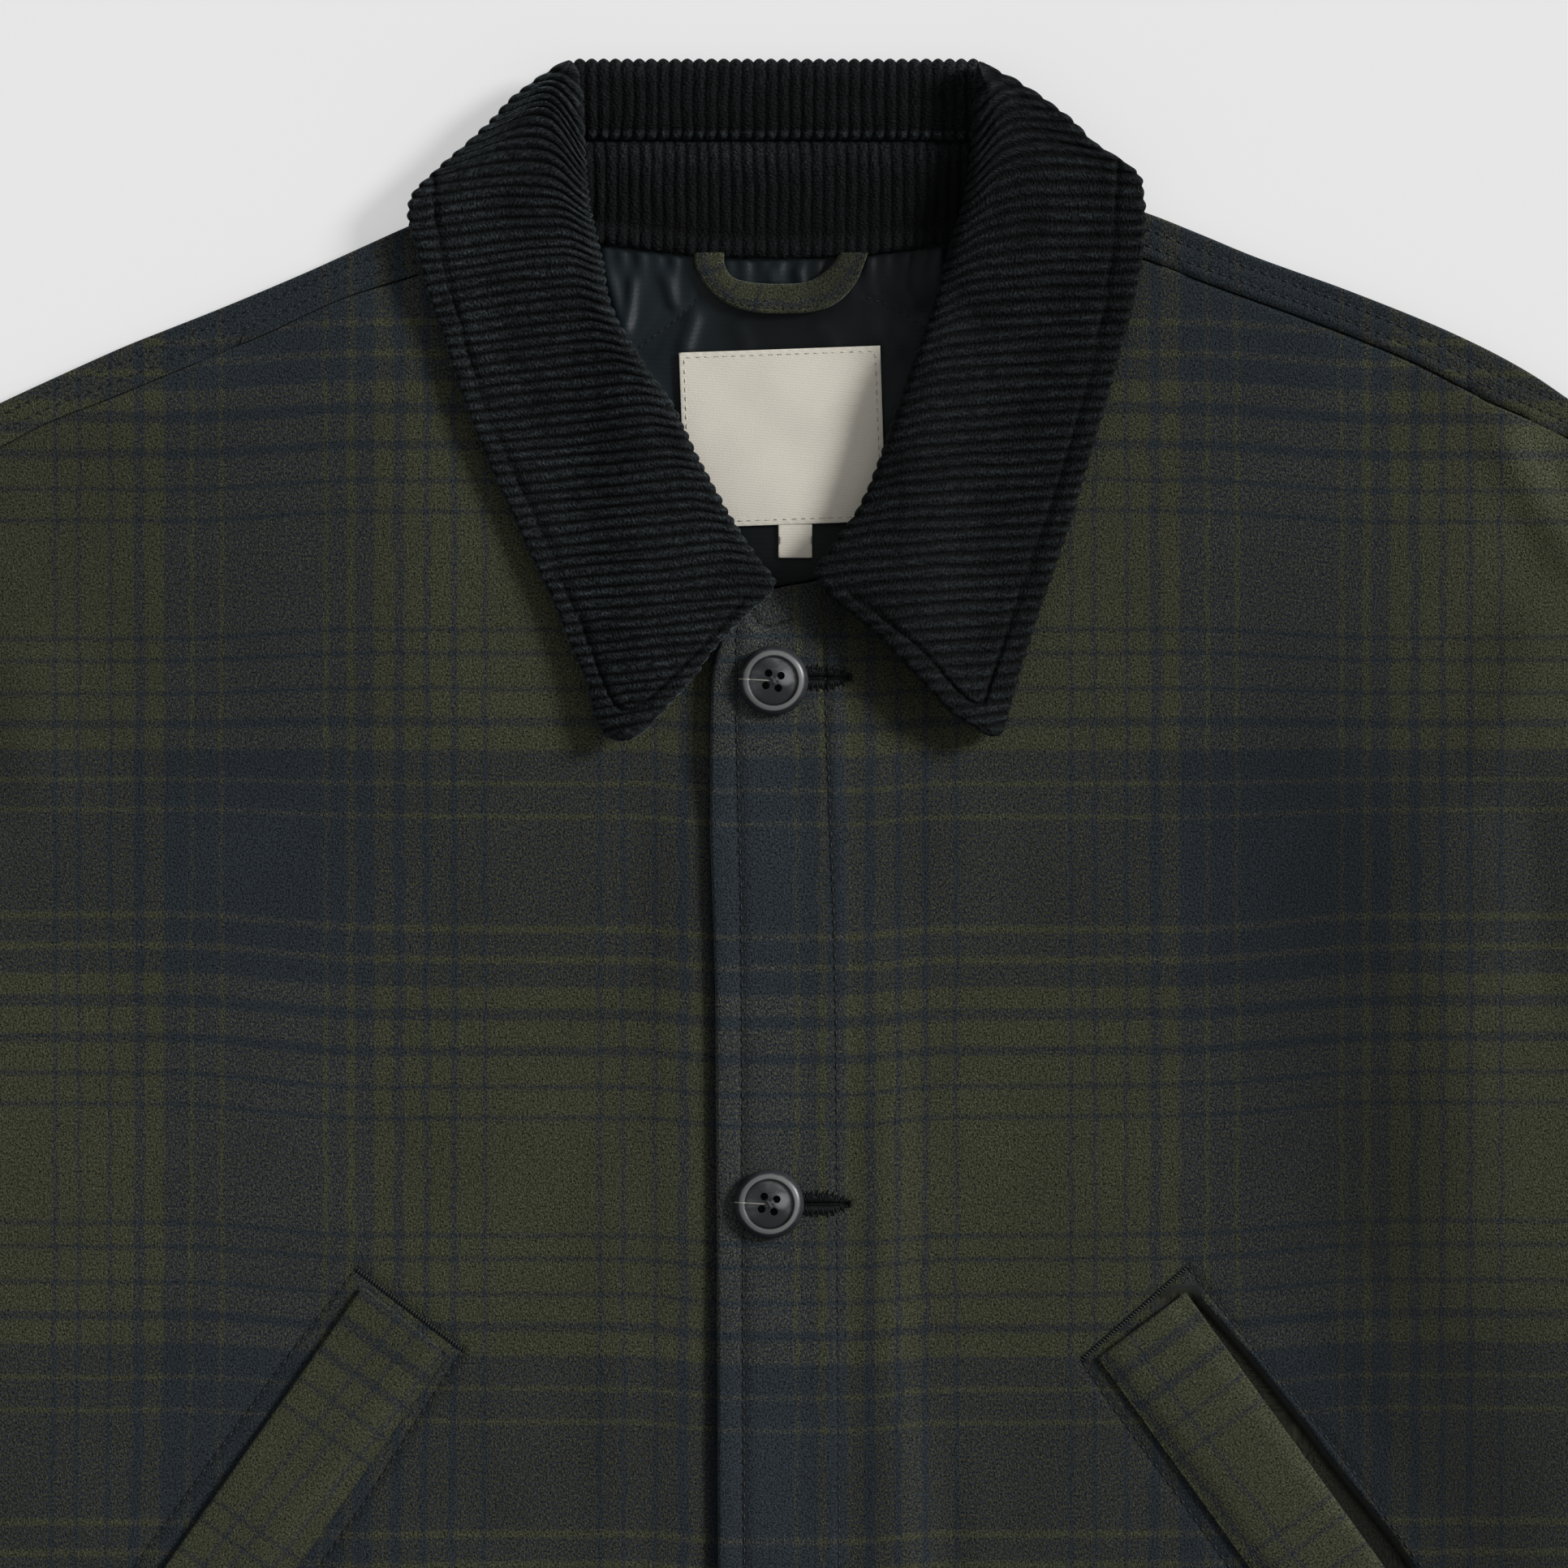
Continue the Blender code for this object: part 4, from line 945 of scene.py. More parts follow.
def underCloth(points):
    x, y = points[:, 0], points[:, 1]
    sag = bodyValues["sag"]["under"] * smooth((x + 42.0) / 22.0)
    lean = bodyValues["lean"] * smooth((-y - 300.0) / 150.0) * smooth((-x - 60.0) / 80.0)
    return bodyCloth(points, bodyValues["phase"][0] + lean, sag)


def upperCloth(points):
    x, y = points[:, 0], points[:, 1]
    sag = bodyValues["sag"]["upper"] * (1.0 - smooth((x - 22.0) / 30.0))
    cloth = bodyCloth(points, bodyValues["phase"][1], sag)
    # the inside of the pocket is faced with plain olive cloth; its darkness is painted shade
    facing = np.column_stack([116.0 + 14.0 * np.sin(x / 14.0), 131.0 + 14.0 * np.sin(y / 14.0)])
    away = lipAway(points)
    inside = (away > 0.2) & (away < openingValues["shadeReach"]) & (openingReach(points) > 0.5)
    return np.where(inside[:, None], facing, cloth)


# Painted light and shade on the fronts: soft spots as x, y, half width, half height, share
shadeValues = {
    # painted shade along stitch grooves and in the buttonhole slits: depth, width, most
    "groove": (0.5, 0.7, 0.6),
    "hole": (0.9, 1.0, 0.9),
    # painted shade of a soft valley down the right side: distance below the neck, x and share of light
    # lost
    "valley": [(60.0, 170.0, 0.0), (115.0, 170.0, 0.10), (160.0, 167.0, 0.28), (257.0, 176.0, 0.38),
               (305.0, 184.0, 0.46), (355.0, 200.0, 0.42), (405.0, 216.0, 0.36),
               (480.0, 232.0, 0.0)],
    "valleyWidth": 29.0,
    # painted light on the back beside the collar; painted light at the right edge, at the top of the
    # turned edge and near the right shoulder
    "backSpots": [(-112.0, -16.0, 14.0, 14.0, 0.5)],
    "upperSpots": [(232.0, -78.0, 14.0, 30.0, 0.5), (-5.0, -122.0, 9.0, 11.0, 0.45),
                   (180.0, -42.0, 14.0, 13.0, 0.25)],
    # painted shade at the upper left of the under front; painted light on the turned edge and painted
    # shade beside it; a painted light band on a fold: x, half width, share; the painted shadow of the
    # right leaf, near and far
    "upperLeftLoss": 0.15,
    "bandLight": 1.28,
    "besideBand": 0.93,
    "ridge": (62.0, 14.0, 0.09),
    "underCollar": (0.5, 0.68),
}
# front edge of the right collar leaf, from which its painted shadow falls
collarFront = curveThrough([(8.0, -104.0), (16.8, -116.8), (27.8, -126.0), (40.0, -138.3),
                            (54.0, -152.3), (63.3, -158.5)], 4.0)


def grooveShade(points, lines):
    depth, width, most = shadeValues["groove"]
    return 1.0 - seamGrooves(points, lines, depth, width).clip(0.0, most)


def softSpot(points, x, y, wide, tall):
    return np.exp(-((points[:, 0] - x) / wide) ** 2 - ((points[:, 1] - y) / tall) ** 2)


def spotShade(points, spots):
    shade = np.ones(len(points))
    for *place, gain in spots:
        shade *= 1.0 + gain * softSpot(points, *place)
    return shade


def backShade(points):
    # painted light beside the collar
    return spotShade(points, shadeValues["backSpots"])


def underShade(points):
    # painted shade at the upper left, painted light beside the collar, painted shade along stitch
    # grooves
    x, down = points[:, 0], -points[:, 1]
    upper = smooth((-x - 100.0) / 30.0) * smooth((down - 45.0) / 25.0) * smooth((195.0 - down) / 45.0)
    return ((1.0 - shadeValues["upperLeftLoss"] * upper) * backShade(points)
            * grooveShade(points, underGrooves))


def upperShade(points):
    # painted light and shade: grooves, buttonholes, a valley, the turned edge, a fold, the right leaf's
    # shadow, soft spots and the pocket opening
    values = shadeValues
    x, down = points[:, 0], -points[:, 1]
    depth, width, most = values["hole"]
    holes = seamGrooves(points, holeLines, depth, width).clip(0.0, most)
    places, middles, depths = np.array(values["valley"]).T
    away = (x - np.interp(down, places, middles)) / values["valleyWidth"]
    valley = 1.0 - np.interp(down, places, depths) * np.exp(-away * away)
    beside = mix(1.0, values["besideBand"], smooth((x - 20.0) / 8.0))
    band = mix(values["bandLight"], beside, smooth((x - 2.0) / 14.0))
    ridgeX, ridgeWidth, ridgeLight = values["ridge"]
    ridge = 1.0 + ridgeLight * np.exp(-((x - ridgeX) / ridgeWidth) ** 2)
    # painted shadow of the right collar leaf, fading away from its front edge and past its tip
    clear = np.maximum(smooth((lineDistance(points, collarFront) - 5.0) / 13.0),
                       smooth((x - 46.0) / 14.0))
    nearEdge, farEdge = values["underCollar"]
    collar = mix(mix(nearEdge, farEdge, smooth((x - 14.0) / 18.0)), 1.0, clear)
    return (grooveShade(points, upperGrooves) * valley * band * ridge * collar
            * spotShade(points, values["upperSpots"]) * openingShade(points) * (1.0 - holes))


def backTop(points):
    top = np.full(len(points), bodyValues["backTop"])
    for side in (-1, 1):
        seam = np.array(sorted(shoulderSeam[side]))
        x = side * points[:, 0]
        above = (x > 84.0) & (points[:, 1] > np.interp(x, seam[:, 0], seam[:, 1]) - 0.05)
        top[above] = bodyValues["frontTop"] + bodyValues["stripAbove"]
    return top - seamGrooves(points, stripLines, *bodyValues["stripGroove"])


def backCloth(points):
    left, right, _ = bodyValues["phase"]
    return bodyCloth(points, np.where(points[:, 0] < 0, left, right),
                     bodyValues["sag"]["back"])


underOutline = nodeOutline("front_under", 3.0)
upperOutline = nodeOutline("front_upper", 3.0)
frontUnder = clothPanel("frontUnder", underOutline, underTop,
                        lambda p: underTop(p) - bodyValues["cloth"] + 0.1, underCloth, wool,
                        lines=grooveLines(underOutline, underGrooves), shadeAt=underShade)
frontUpper = clothPanel("frontUpper", upperOutline, upperTop,
                        lambda p: upperFloor(p) + 0.2, upperCloth, wool, edge=1.15,
                        lines=grooveLines(upperOutline, upperSewn)
                        + [line[1:-1] for line in lipLines],
                        shadeAt=upperShade)
seamLines = []
for side in (-1, 1):
    seam = np.array([(side * x, y) for x, y in shoulderSeam[side] if x > 90.0])
    seam = curveThrough(seam, 4.0)
    seamLines += [seam, seam - np.array([0.0, 0.34])]
backOutline = nodeOutline("back", 3.0, -1.0)
backPiece = clothPanel("backPiece", backOutline, backTop, lambda p: np.zeros(len(p)), backCloth,
                       wool, spacing=6.0, edge=1.05,
                       lines=seamLines + grooveLines(backOutline, stripLines), shadeAt=backShade)
standIn(frontUnder, "front_under")
standIn(frontUpper, "front_upper")
standIn(backPiece, "back")
print("body made")

# Pocket welts: corner, direction down the pocket, direction across, as laid, and place on the check
weltValues = {
    "thick": 1.9,
    "belly": 0.35,
    "uneven": 0.2,
    "above": 0.3,
    "sewnWidth": 6.0,
    "sewnFlat": 0.8,
    -1: {"corner": (-127.3, -328.5), "down": (-0.577, -0.817), "across": (26.2, -20.8),
         "phase": (119.3, 69.3)},
    1: {"corner": (125.8, -330.3), "down": (0.586, -0.810), "across": (-27.0, -20.2),
        "phase": (120.7, 72.5)},
}


def makeWelt(name, side, node, surfaceAt):
    shared, values = weltValues, weltValues[side]
    corner, down, across = (np.array(values[key]) for key in ("corner", "down", "across"))
    width = np.linalg.norm(across)
    across = across / width

    def topAt(points):
        s = (points - corner) @ across
        belly = shared["belly"] * np.sin(np.pi * np.clip(s / width, 0.0, 1.0))
        sewn = 1.0 - shared["sewnFlat"] * smooth((s - width) / shared["sewnWidth"] + 1.0)
        uneven = shared["uneven"] * softNoise(points, 16.0, 21)
        return surfaceAt(points) + shared["above"] + (shared["thick"] + belly) * sewn + uneven

    def clothAt(points):
        away = points - corner
        u0, v0 = values["phase"]
        return np.column_stack([away @ across * -side + u0, away @ down + v0])

    made = clothPanel(name, nodeOutline(node, 2.5), topAt, lambda p: surfaceAt(p) + 0.35, clothAt,
                      wool, spacing=2.5, edge=0.85)
    return standIn(made, node)


weltLeft = makeWelt("weltLeft", -1, "welt_left", underTop)
weltRight = makeWelt("weltRight", 1, "welt_right", upperTop)
print("welts made")

# Sleeves: flattened tubes, outer and inner edge as distance from the centre and height
sleeveValues = {
    "outer": [(262.4, -67.6), (300.0, -88.0), (350.0, -122.0), (400.0, -168.0), (440.0, -222.0),
              (500.0, -326.0), (560.0, -430.0), (622.0, -540.0)],
    "inner": [(298.7, -289.8), (318.0, -304.0), (345.0, -345.0), (400.0, -440.0),
              (460.0, -543.0), (505.0, -620.0)],
    "armhole": [(262.4, -82.0), (256.4, -125.0), (254.9, -170.0), (258.4, -215.0),
                (270.4, -257.0), (298.7, -289.8)],
    "wall": 2.2,
    "slot": 0.6,
    "rows": 150,
    "around": 48,
    "edgeRound": 2.4,
    "cuffSeam": (0.955, 0.0018, 0.5),
    "length": 620.0,
    "halfRound": 200.0,
    "phase": (30.0, -18.0),
    # place along, place across, half width along, height, slant
    "folds": [(0.10, 0.75, 0.018, 1.6, 0.12), (0.20, 0.30, 0.030, 2.6, 0.10),
              (0.28, 0.62, 0.016, 1.5, -0.10), (0.36, 0.75, 0.026, 2.4, 0.14),
              (0.43, 0.45, 0.014, -1.2, 0.10), (0.50, 0.30, 0.030, 3.0, 0.10),
              (0.55, 0.60, 0.014, 1.4, -0.16), (0.60, 0.80, 0.026, 2.6, 0.12),
              (0.70, 0.40, 0.018, 1.6, -0.10), (0.80, 0.45, 0.026, 2.2, 0.10),
              (0.88, 0.70, 0.016, 1.4, 0.08)],
}


def linePlaces(line, shares):
    lengths = lengthsAlong(line)
    return pointsAlong(line, lengths, np.asarray(shares) * lengths[-1])


def makeSleeve(name, side, node):
    mirror = np.array([side, 1.0])
    outer = curveThrough(np.array(sleeveValues["outer"]), 5.0) * mirror
    inner = curveThrough(np.array(sleeveValues["inner"]), 5.0) * mirror
    crown = curveThrough(np.array(sleeveValues["armhole"]), 5.0) * mirror
    crown = np.vstack([outer[:1], crown])
    rows, half = sleeveValues["rows"], sleeveValues["around"] // 2
    wall = sleeveValues["wall"]
    height = 2.0 * wall + sleeveValues["slot"]
    turns = np.linspace(0.0, np.pi, half + 1)
    shares = 0.5 * (1.0 - np.cos(turns))
    shares = mix(shares, np.linspace(0.0, 1.0, half + 1), 0.6)

    def place(along, across):
        a = linePlaces(outer, along)
        b = linePlaces(inner, along)
        chord = mix(crown[0], crown[-1], across[:, None])
        bow = linePlaces(crown, across) - chord
        fade = 1.0 - smooth(along / mix(0.35, 0.06, across))
        return mix(a, b, across[:, None]) + bow * fade[:, None]

    along, across = np.meshgrid(np.linspace(0.0, 1.0, rows), shares, indexing="ij")
    along, across = along.ravel(), across.ravel()
    flat = place(along, across)
    lift = np.zeros(len(along))
    for at, over, width, tall, slant in sleeveValues["folds"]:
        off = (along - at - slant * (across - over)) / width
        reach = np.exp(-((across - over) / 0.30) ** 2)
        lift += tall * reach * np.exp(-off * off)
    lift += 0.4 * softNoise(flat, 45.0, 31) + 0.15 * softNoise(flat, 16.0, 32) + 0.3
    rim = smooth(np.minimum(across, 1.0 - across) / 0.12)
    ends = smooth(along / 0.08) * smooth((1.0 - along) / 0.06)
    seamAt, seamWidth, seamDepth = sleeveValues["cuffSeam"]
    cuffSeam = -seamDepth * np.exp(-((along - seamAt) / seamWidth) ** 2)
    lift = lift * rim * ends + cuffSeam * rim
    width = np.linalg.norm(place(along, np.zeros(len(along))) - place(along, np.ones(len(along))),
                           axis=1)
    margin = 1.2 * wall / width
    innerFlat = place(along, margin + (1.0 - 2.0 * margin) * across)
    nearEdge = np.minimum(across, 1.0 - across) * width
    bend = (1.0 - nearEdge / sleeveValues["edgeRound"]).clip(0.0)
    curve = np.sqrt(np.clip(1.0 - bend ** 2, 0.0, 1.0))
    topZ = 0.5 * height * (1.0 + curve) + lift
    lowZ = 0.5 * height * (1.0 - curve)
    insideTop = np.maximum(topZ - wall, 0.5 * height + 0.15)
    insideLow = np.full(len(along), wall)
    edgeFade = smooth(nearEdge / 3.0)
    insideTop = mix(0.5 * height + 0.05, insideTop, edgeFade)
    insideLow = mix(0.5 * height - 0.05, insideLow, edgeFade)
    shape = (rows, half + 1)
    clothU = (across * width).reshape(shape)
    clothV = (along * sleeveValues["length"]).reshape(shape)

    def section(xy, upper, lower):
        xy = xy.reshape(*shape, 2)
        upper, lower = upper.reshape(shape), lower.reshape(shape)
        top = np.dstack([xy, upper[..., None]])
        low = np.dstack([xy, lower[..., None]])[:, ::-1][:, 1:-1]
        return np.concatenate([top, low], axis=1)

    outside = section(flat, topZ, lowZ)
    inside = section(innerFlat, insideTop, insideLow)
    size = outside.shape[1]
    points = np.vstack([outside.reshape(-1, 3), inside.reshape(-1, 3)])
    base = rows * size
    faces = []
    for r in range(rows - 1):
        for i in range(size):
            j = (i + 1) % size
            a, b, c, d = r * size + i, r * size + j, (r + 1) * size + j, (r + 1) * size + i
            faces.append((a, b, c, d))
            faces.append((base + d, base + c, base + b, base + a))
    for r in (0, rows - 1):
        for i in range(size):
            j = (i + 1) % size
            faces.append((r * size + i, base + r * size + i, base + r * size + j, r * size + j))
    under = clothU[:, ::-1][:, 1:-1] + sleeveValues["halfRound"]
    ringU = np.concatenate([clothU, under], axis=1)
    ringV = np.concatenate([clothV, clothV[:, ::-1][:, 1:-1]], axis=1)
    phaseU, phaseV = sleeveValues["phase"]
    cloth = np.column_stack([ringU.ravel() + phaseU, ringV.ravel() + phaseV])
    cloth = np.vstack([cloth, cloth])
    return standIn(addMesh(name, points, faces, wool, cloth, np.ones(len(points))), node)


sleeveLeft = makeSleeve("sleeveLeft", -1, "sleeve_left")
sleeveRight = makeSleeve("sleeveRight", 1, "sleeve_right")
print("sleeves made")

# Collar leaves. For each: height and x along its outer edge and its roll, height where a wale starts
# and where it ends, the hook of the wales at the roll, how far they arch, and the stitched groove
leafValues = {
    "relief": 0.52,
    "sharpness": 0.45,
    "rowsPerWale": 8,
    "topSteps": 46,
    "edgeThick": 3.4,
    "rollThick": 7.0,
    "rollThickFront": 4.2,
    "belly": 0.9,
    "hookReach": 13.0,
    "wander": 0.50,
    "pileUneven": 0.24,
    "broadUneven": 0.55,
    "outerLift": (1.1, 11.0),
    "liftFrom": (85.0, 28.0),
    "grooveWidth": 0.62,
    "grooveDepth": 1.1,
    # share of painted shade in the stitched groove
    "groovePaintedShade": 0.75,
    "pressWidth": 1.7,
    "press": 0.45,
    "restFloor": 5.3,
    "restBand": (10.0, 66.0, 28.0),
    "restTurn": (7.85, 36.0, 22.0),
    # painted shade at the right leaf's roll (share lost, start, fade) and on the left leaf's face, and a
    # painted light spot: x, y, half width, half height
    "rollPaintedShade": (0.14, 0.45, 0.4),
    "facePaintedShade": 0.87,
    "paintedLightSpot": (-59.0, -113.0, 13.0, 35.0),
    -1: {
        "pitch": 3.25,
        "lift": 1.6,
        "outer": [(48.1, -64.6), (43.5, -72.8), (35.8, -82.3), (27.3, -90.0), (19.5, -99.3),
                  (14.0, -105.3), (5.5, -112.5), (-13.0, -110.0), (-37.8, -102.3),
                  (-68.8, -91.5), (-93.5, -80.5), (-119.8, -68.3), (-144.5, -58.3),
                  (-159.0, -52.8), (-161.0, -49.5)],
        "roll": [(47.5, -62.0), (38.0, -59.8), (25.8, -59.2), (4.0, -57.5), (-13.0, -53.5),
                 (-25.5, -51.3), (-40.8, -43.5), (-56.3, -32.8), (-75.0, -23.5),
                 (-92.0, -14.0), (-104.3, -6.3), (-113.0, -0.6), (-121.3, -8.0),
                 (-132.0, -18.8), (-142.3, -26.5), (-157.5, -40.5), (-160.5, -44.5)],
        "wales": [(48.1, 46.8), (43.5, 38.0), (35.0, 25.0), (27.0, 17.0), (14.0, 8.0),
                  (0.0, -2.0), (-20.0, -17.0), (-60.0, -56.0), (-118.0, -113.0),
                  (-157.0, -153.0), (-161.0, -160.5)],
        "hook": [(48.7, 1.0), (40.0, 3.0), (28.0, 5.0), (14.0, 5.0), (0.0, 4.0), (-40.0, 3.0),
                 (-110.0, 2.0), (-135.0, 0.0), (-161.0, 0.0)],
        "arch": [(48.7, 0.0), (43.5, 0.17), (36.0, 0.26), (27.0, 0.27), (18.0, 0.17), (8.0, 0.07),
                 (-12.0, 0.02), (-60.0, 0.0), (-161.0, 0.0)],
        "grooves": [[(-105.3, 13.3), (-103.8, -5.3), (-96.0, -36.3), (-88.3, -61.0),
                     (-72.8, -95.0), (-60.5, -122.8), (-52.8, -143.0), (-47.8, -151.0),
                     (-41.5, -149.5), (-33.0, -142.0), (-17.5, -126.5), (-9.5, -117.0)]],
    },
    1: {
        "pitch": 3.85,
        "lift": 5.6,
        "outer": [(48.1, 62.8), (43.5, 71.0), (38.0, 80.3), (31.0, 89.5), (22.5, 98.8),
                  (18.8, 105.0), (13.3, 111.3), (7.0, 112.8), (-0.8, 113.3), (-19.3, 111.3),
                  (-40.8, 105.8), (-65.5, 98.8), (-96.5, 89.5), (-122.8, 80.3),
                  (-144.5, 73.3), (-153.8, 71.0), (-159.3, 69.0)],
        "roll": [(47.5, 61.0), (31.8, 60.3), (10.3, 58.5), (-6.8, 54.0), (-22.3, 49.3),
                 (-36.3, 44.8), (-53.3, 38.5), (-71.8, 32.3), (-88.8, 25.3), (-101.3, 16.8),
                 (-108.8, 11.6), (-116.8, 16.8), (-126.0, 27.8), (-138.3, 40.0),
                 (-152.3, 54.0), (-158.5, 63.3), (-159.5, 65.0)],
        "wales": [(48.1, 46.8), (43.5, 35.0), (36.0, 24.0), (27.0, 15.0), (16.0, 6.0),
                  (2.0, -6.0), (-20.0, -27.0), (-60.0, -66.0), (-103.5, -108.8),
                  (-150.0, -153.0), (-159.3, -159.5)],
        "hook": [(48.7, 1.0), (40.0, 3.0), (28.0, 4.0), (14.0, 4.0), (0.0, 3.0), (-40.0, 1.5),
                 (-100.0, 1.0), (-135.0, 0.0), (-161.0, 0.0)],
        "arch": [(48.7, 0.0), (43.5, 0.12), (36.0, 0.18), (27.0, 0.17), (18.0, 0.12), (8.0, 0.06),
                 (-12.0, 0.03), (-60.0, 0.01), (-161.0, 0.0)],
        "grooves": [[(105.0, 18.8), (104.3, 4.0), (100.3, -31.5), (88.0, -78.0),
                     (74.0, -118.3), (65.8, -142.0), (62.8, -149.5), (56.0, -146.0),
                     (45.0, -133.5), (33.5, -124.0), (22.0, -115.0)]],
    },
}


def leafRest(flat):
    # what the underside of a leaf lies on
    x, y = np.abs(flat[:, 0]), flat[:, 1]
    low = leafValues["restFloor"]
    bandHigh, bandEdge, bandFade = leafValues["restBand"]
    turnHigh, turnEdge, turnFade = leafValues["restTurn"]
    return np.maximum(mix(low, bandHigh, smooth((bandEdge - x) / bandFade)),
                      mix(low, turnHigh, smooth((y + turnEdge) / turnFade)))


def ridgeHeight(phase):
    # 1 on the crest of a wale, 0 between two wales
    return (0.5 - 0.5 * np.cos(2.0 * np.pi * phase)) ** leafValues["sharpness"]


def leafColumns(width, rollThick):
    # points round a leaf: across in mm, height, normal across, normal up, weight of the ridge
    edgeThick = leafValues["edgeThick"]
    edgeRound = np.minimum(1.7, 0.3 * width)
    rollRound = np.minimum(0.62 * rollThick, 0.35 * width)
    columns = [(share * width, 0.0 * width, 0.0, -1.0, 0.0) for share in (0.72, 0.5, 0.28)]
    for turn in np.radians([-55.0, -20.0, 15.0, 45.0, 70.0]):
        c, s = math.cos(turn), math.sin(turn)
        columns.append((edgeRound * (1.0 - c), 0.5 * edgeThick * (1.0 + s) + 0.0 * width, -c, s,
                        0.35 + 0.65 * smooth(0.5 + s)))
    for share in np.linspace(0.0, 1.0, leafValues["topSteps"]):
        across = mix(edgeRound, width - rollRound, share)
        belly = leafValues["belly"] * math.sin(math.pi * share) ** 0.8
        tall = mix(edgeThick, rollThick, smooth((share - 0.25) / 0.75)) + belly
        columns.append((across, tall, 0.0, 1.0, 1.0))
    for turn in np.radians([75.0, 58.0, 40.0, 22.0, 4.0, -18.0, -45.0]):
        c, s = math.cos(turn), math.sin(turn)
        columns.append((width - rollRound * (1.0 - c), 0.5 * rollThick * (1.0 + s), c, s,
                        0.35 + 0.65 * smooth(0.6 + s)))
    return columns


def leafTone(side, flat, share):
    # painted shade darkens the right leaf towards its roll, which faces away from the light; painted
    # light keeps the left one bright at its outer top and at a spot near its tip, and it is darker
    # elsewhere
    if side > 0:
        loss, start, fade = leafValues["rollPaintedShade"]
        return 1.0 - loss * smooth((share - start) / fade)
    outerTop = (1.0 - smooth((share - 0.15) / 0.35)) * smooth((flat[:, 1] + 75.0) / 35.0)
    bright = np.maximum(outerTop, softSpot(flat, *leafValues["paintedLightSpot"]))
    return mix(leafValues["facePaintedShade"], 1.0, bright)


def makeLeaf(name, side, node):
    shared, values = leafValues, leafValues[side]
    keys = np.array(values["wales"])
    wales = round((keys[0, 0] - keys[-1, 0]) / values["pitch"])
    phase = np.linspace(0.0, wales, wales * shared["rowsPerWale"] + 1)
    runs = keys[0, 0] - keys[:, 0]
    outerY, rollY = (np.interp(phase / wales * runs[-1], runs, keys[:, k]) for k in (0, 1))
    hook = tableAt(values["hook"], outerY)
    arch = tableAt(values["arch"], outerY)
    ridge = ridgeHeight(phase)
    outer = np.column_stack([softTable(values["outer"], outerY), outerY])
    roll = np.column_stack([softTable(values["roll"], rollY), rollY + hook])
    width = np.linalg.norm(roll - outer, axis=1)
    run = (roll - outer) / np.maximum(width, 1e-6)[:, None]
    rollThick = mix(shared["rollThick"], shared["rollThickFront"], smooth((-rollY - 40.0) / 70.0))
    hookShare = np.minimum(shared["hookReach"] / np.maximum(width, 1.0), 0.9)
    grooves = [curveThrough(line, 3.0) for line in values["grooves"]]
    rings, cloths, shades = [], [], []
    for across, tall, nAcross, nUp, weight in leafColumns(width, rollThick):
        share = across / np.maximum(width, 1e-6)
        flat = outer + run * across[:, None]
        bend = smooth((share - 1.0 + hookShare) / hookShare) ** 1.4
        bow = np.sin(np.pi * np.clip(share, 0.0, 1.0) ** 1.3)
        flat[:, 1] += width * arch * bow - hook * bend
        wander = softNoise(np.column_stack([across * 0.4, phase * 3.0]), 5.0, 41 + side)
        flat[:, 1] += shared["wander"] * wander * weight
        cut, press = np.zeros(len(flat)), np.zeros(len(flat))
        for groove in grooves:
            off = lineDistance(flat, groove)
            cut += np.exp(-(off / shared["grooveWidth"]) ** 2)
            press += np.exp(-(off / shared["pressWidth"]) ** 2)
        pile = softNoise(np.column_stack([across, phase * 3.3]), 1.7, 43 + side)
        relief = (shared["relief"] * (2.0 * ridge - 1.0) * (1.0 - shared["press"] * press)
                  + shared["pileUneven"] * pile * ridge)
        flat = flat + run * (nAcross * relief * weight)[:, None]
        outerLift, outerFade = shared["outerLift"]
        liftStart, liftFade = shared["liftFrom"]
        lift = (outerLift * np.exp(-across / outerFade)
                + values["lift"] * mix(0.25, 1.0, share) * smooth((-flat[:, 1] - liftStart) / liftFade))
        broad = shared["broadUneven"] * softNoise(flat, 34.0, 45 + side)
        z = (leafRest(flat) + tall + lift + (broad if nUp > 0 else 0.0)
             + relief * weight * max(nUp, 0.0)
             - (shared["grooveDepth"] * cut if nUp > 0.5 else 0.0))
        rings.append(np.column_stack([flat, z]))
        cloths.append(np.column_stack([across, phase * values["pitch"]]))
        # painted shade: darker between the wales, on the leaf's rounded sides and underside, and in the
        # stitched groove
        groove = 1.0 - shared["groovePaintedShade"] * np.minimum(cut, 1.0)
        shades.append(np.clip(mix(0.25, ridge, weight) * leafTone(side, flat, share) * groove,
                              0.0, 1.0))
    finish = corduroyLeft if side < 0 else corduroyRight
    return standIn(loftRings(name, rings, finish, cloths, shades), node)


leafLeft = makeLeaf("leafLeft", -1, "collar_leaf_left")
leafRight = makeLeaf("leafRight", 1, "collar_leaf_right")
print("collar leaves made")

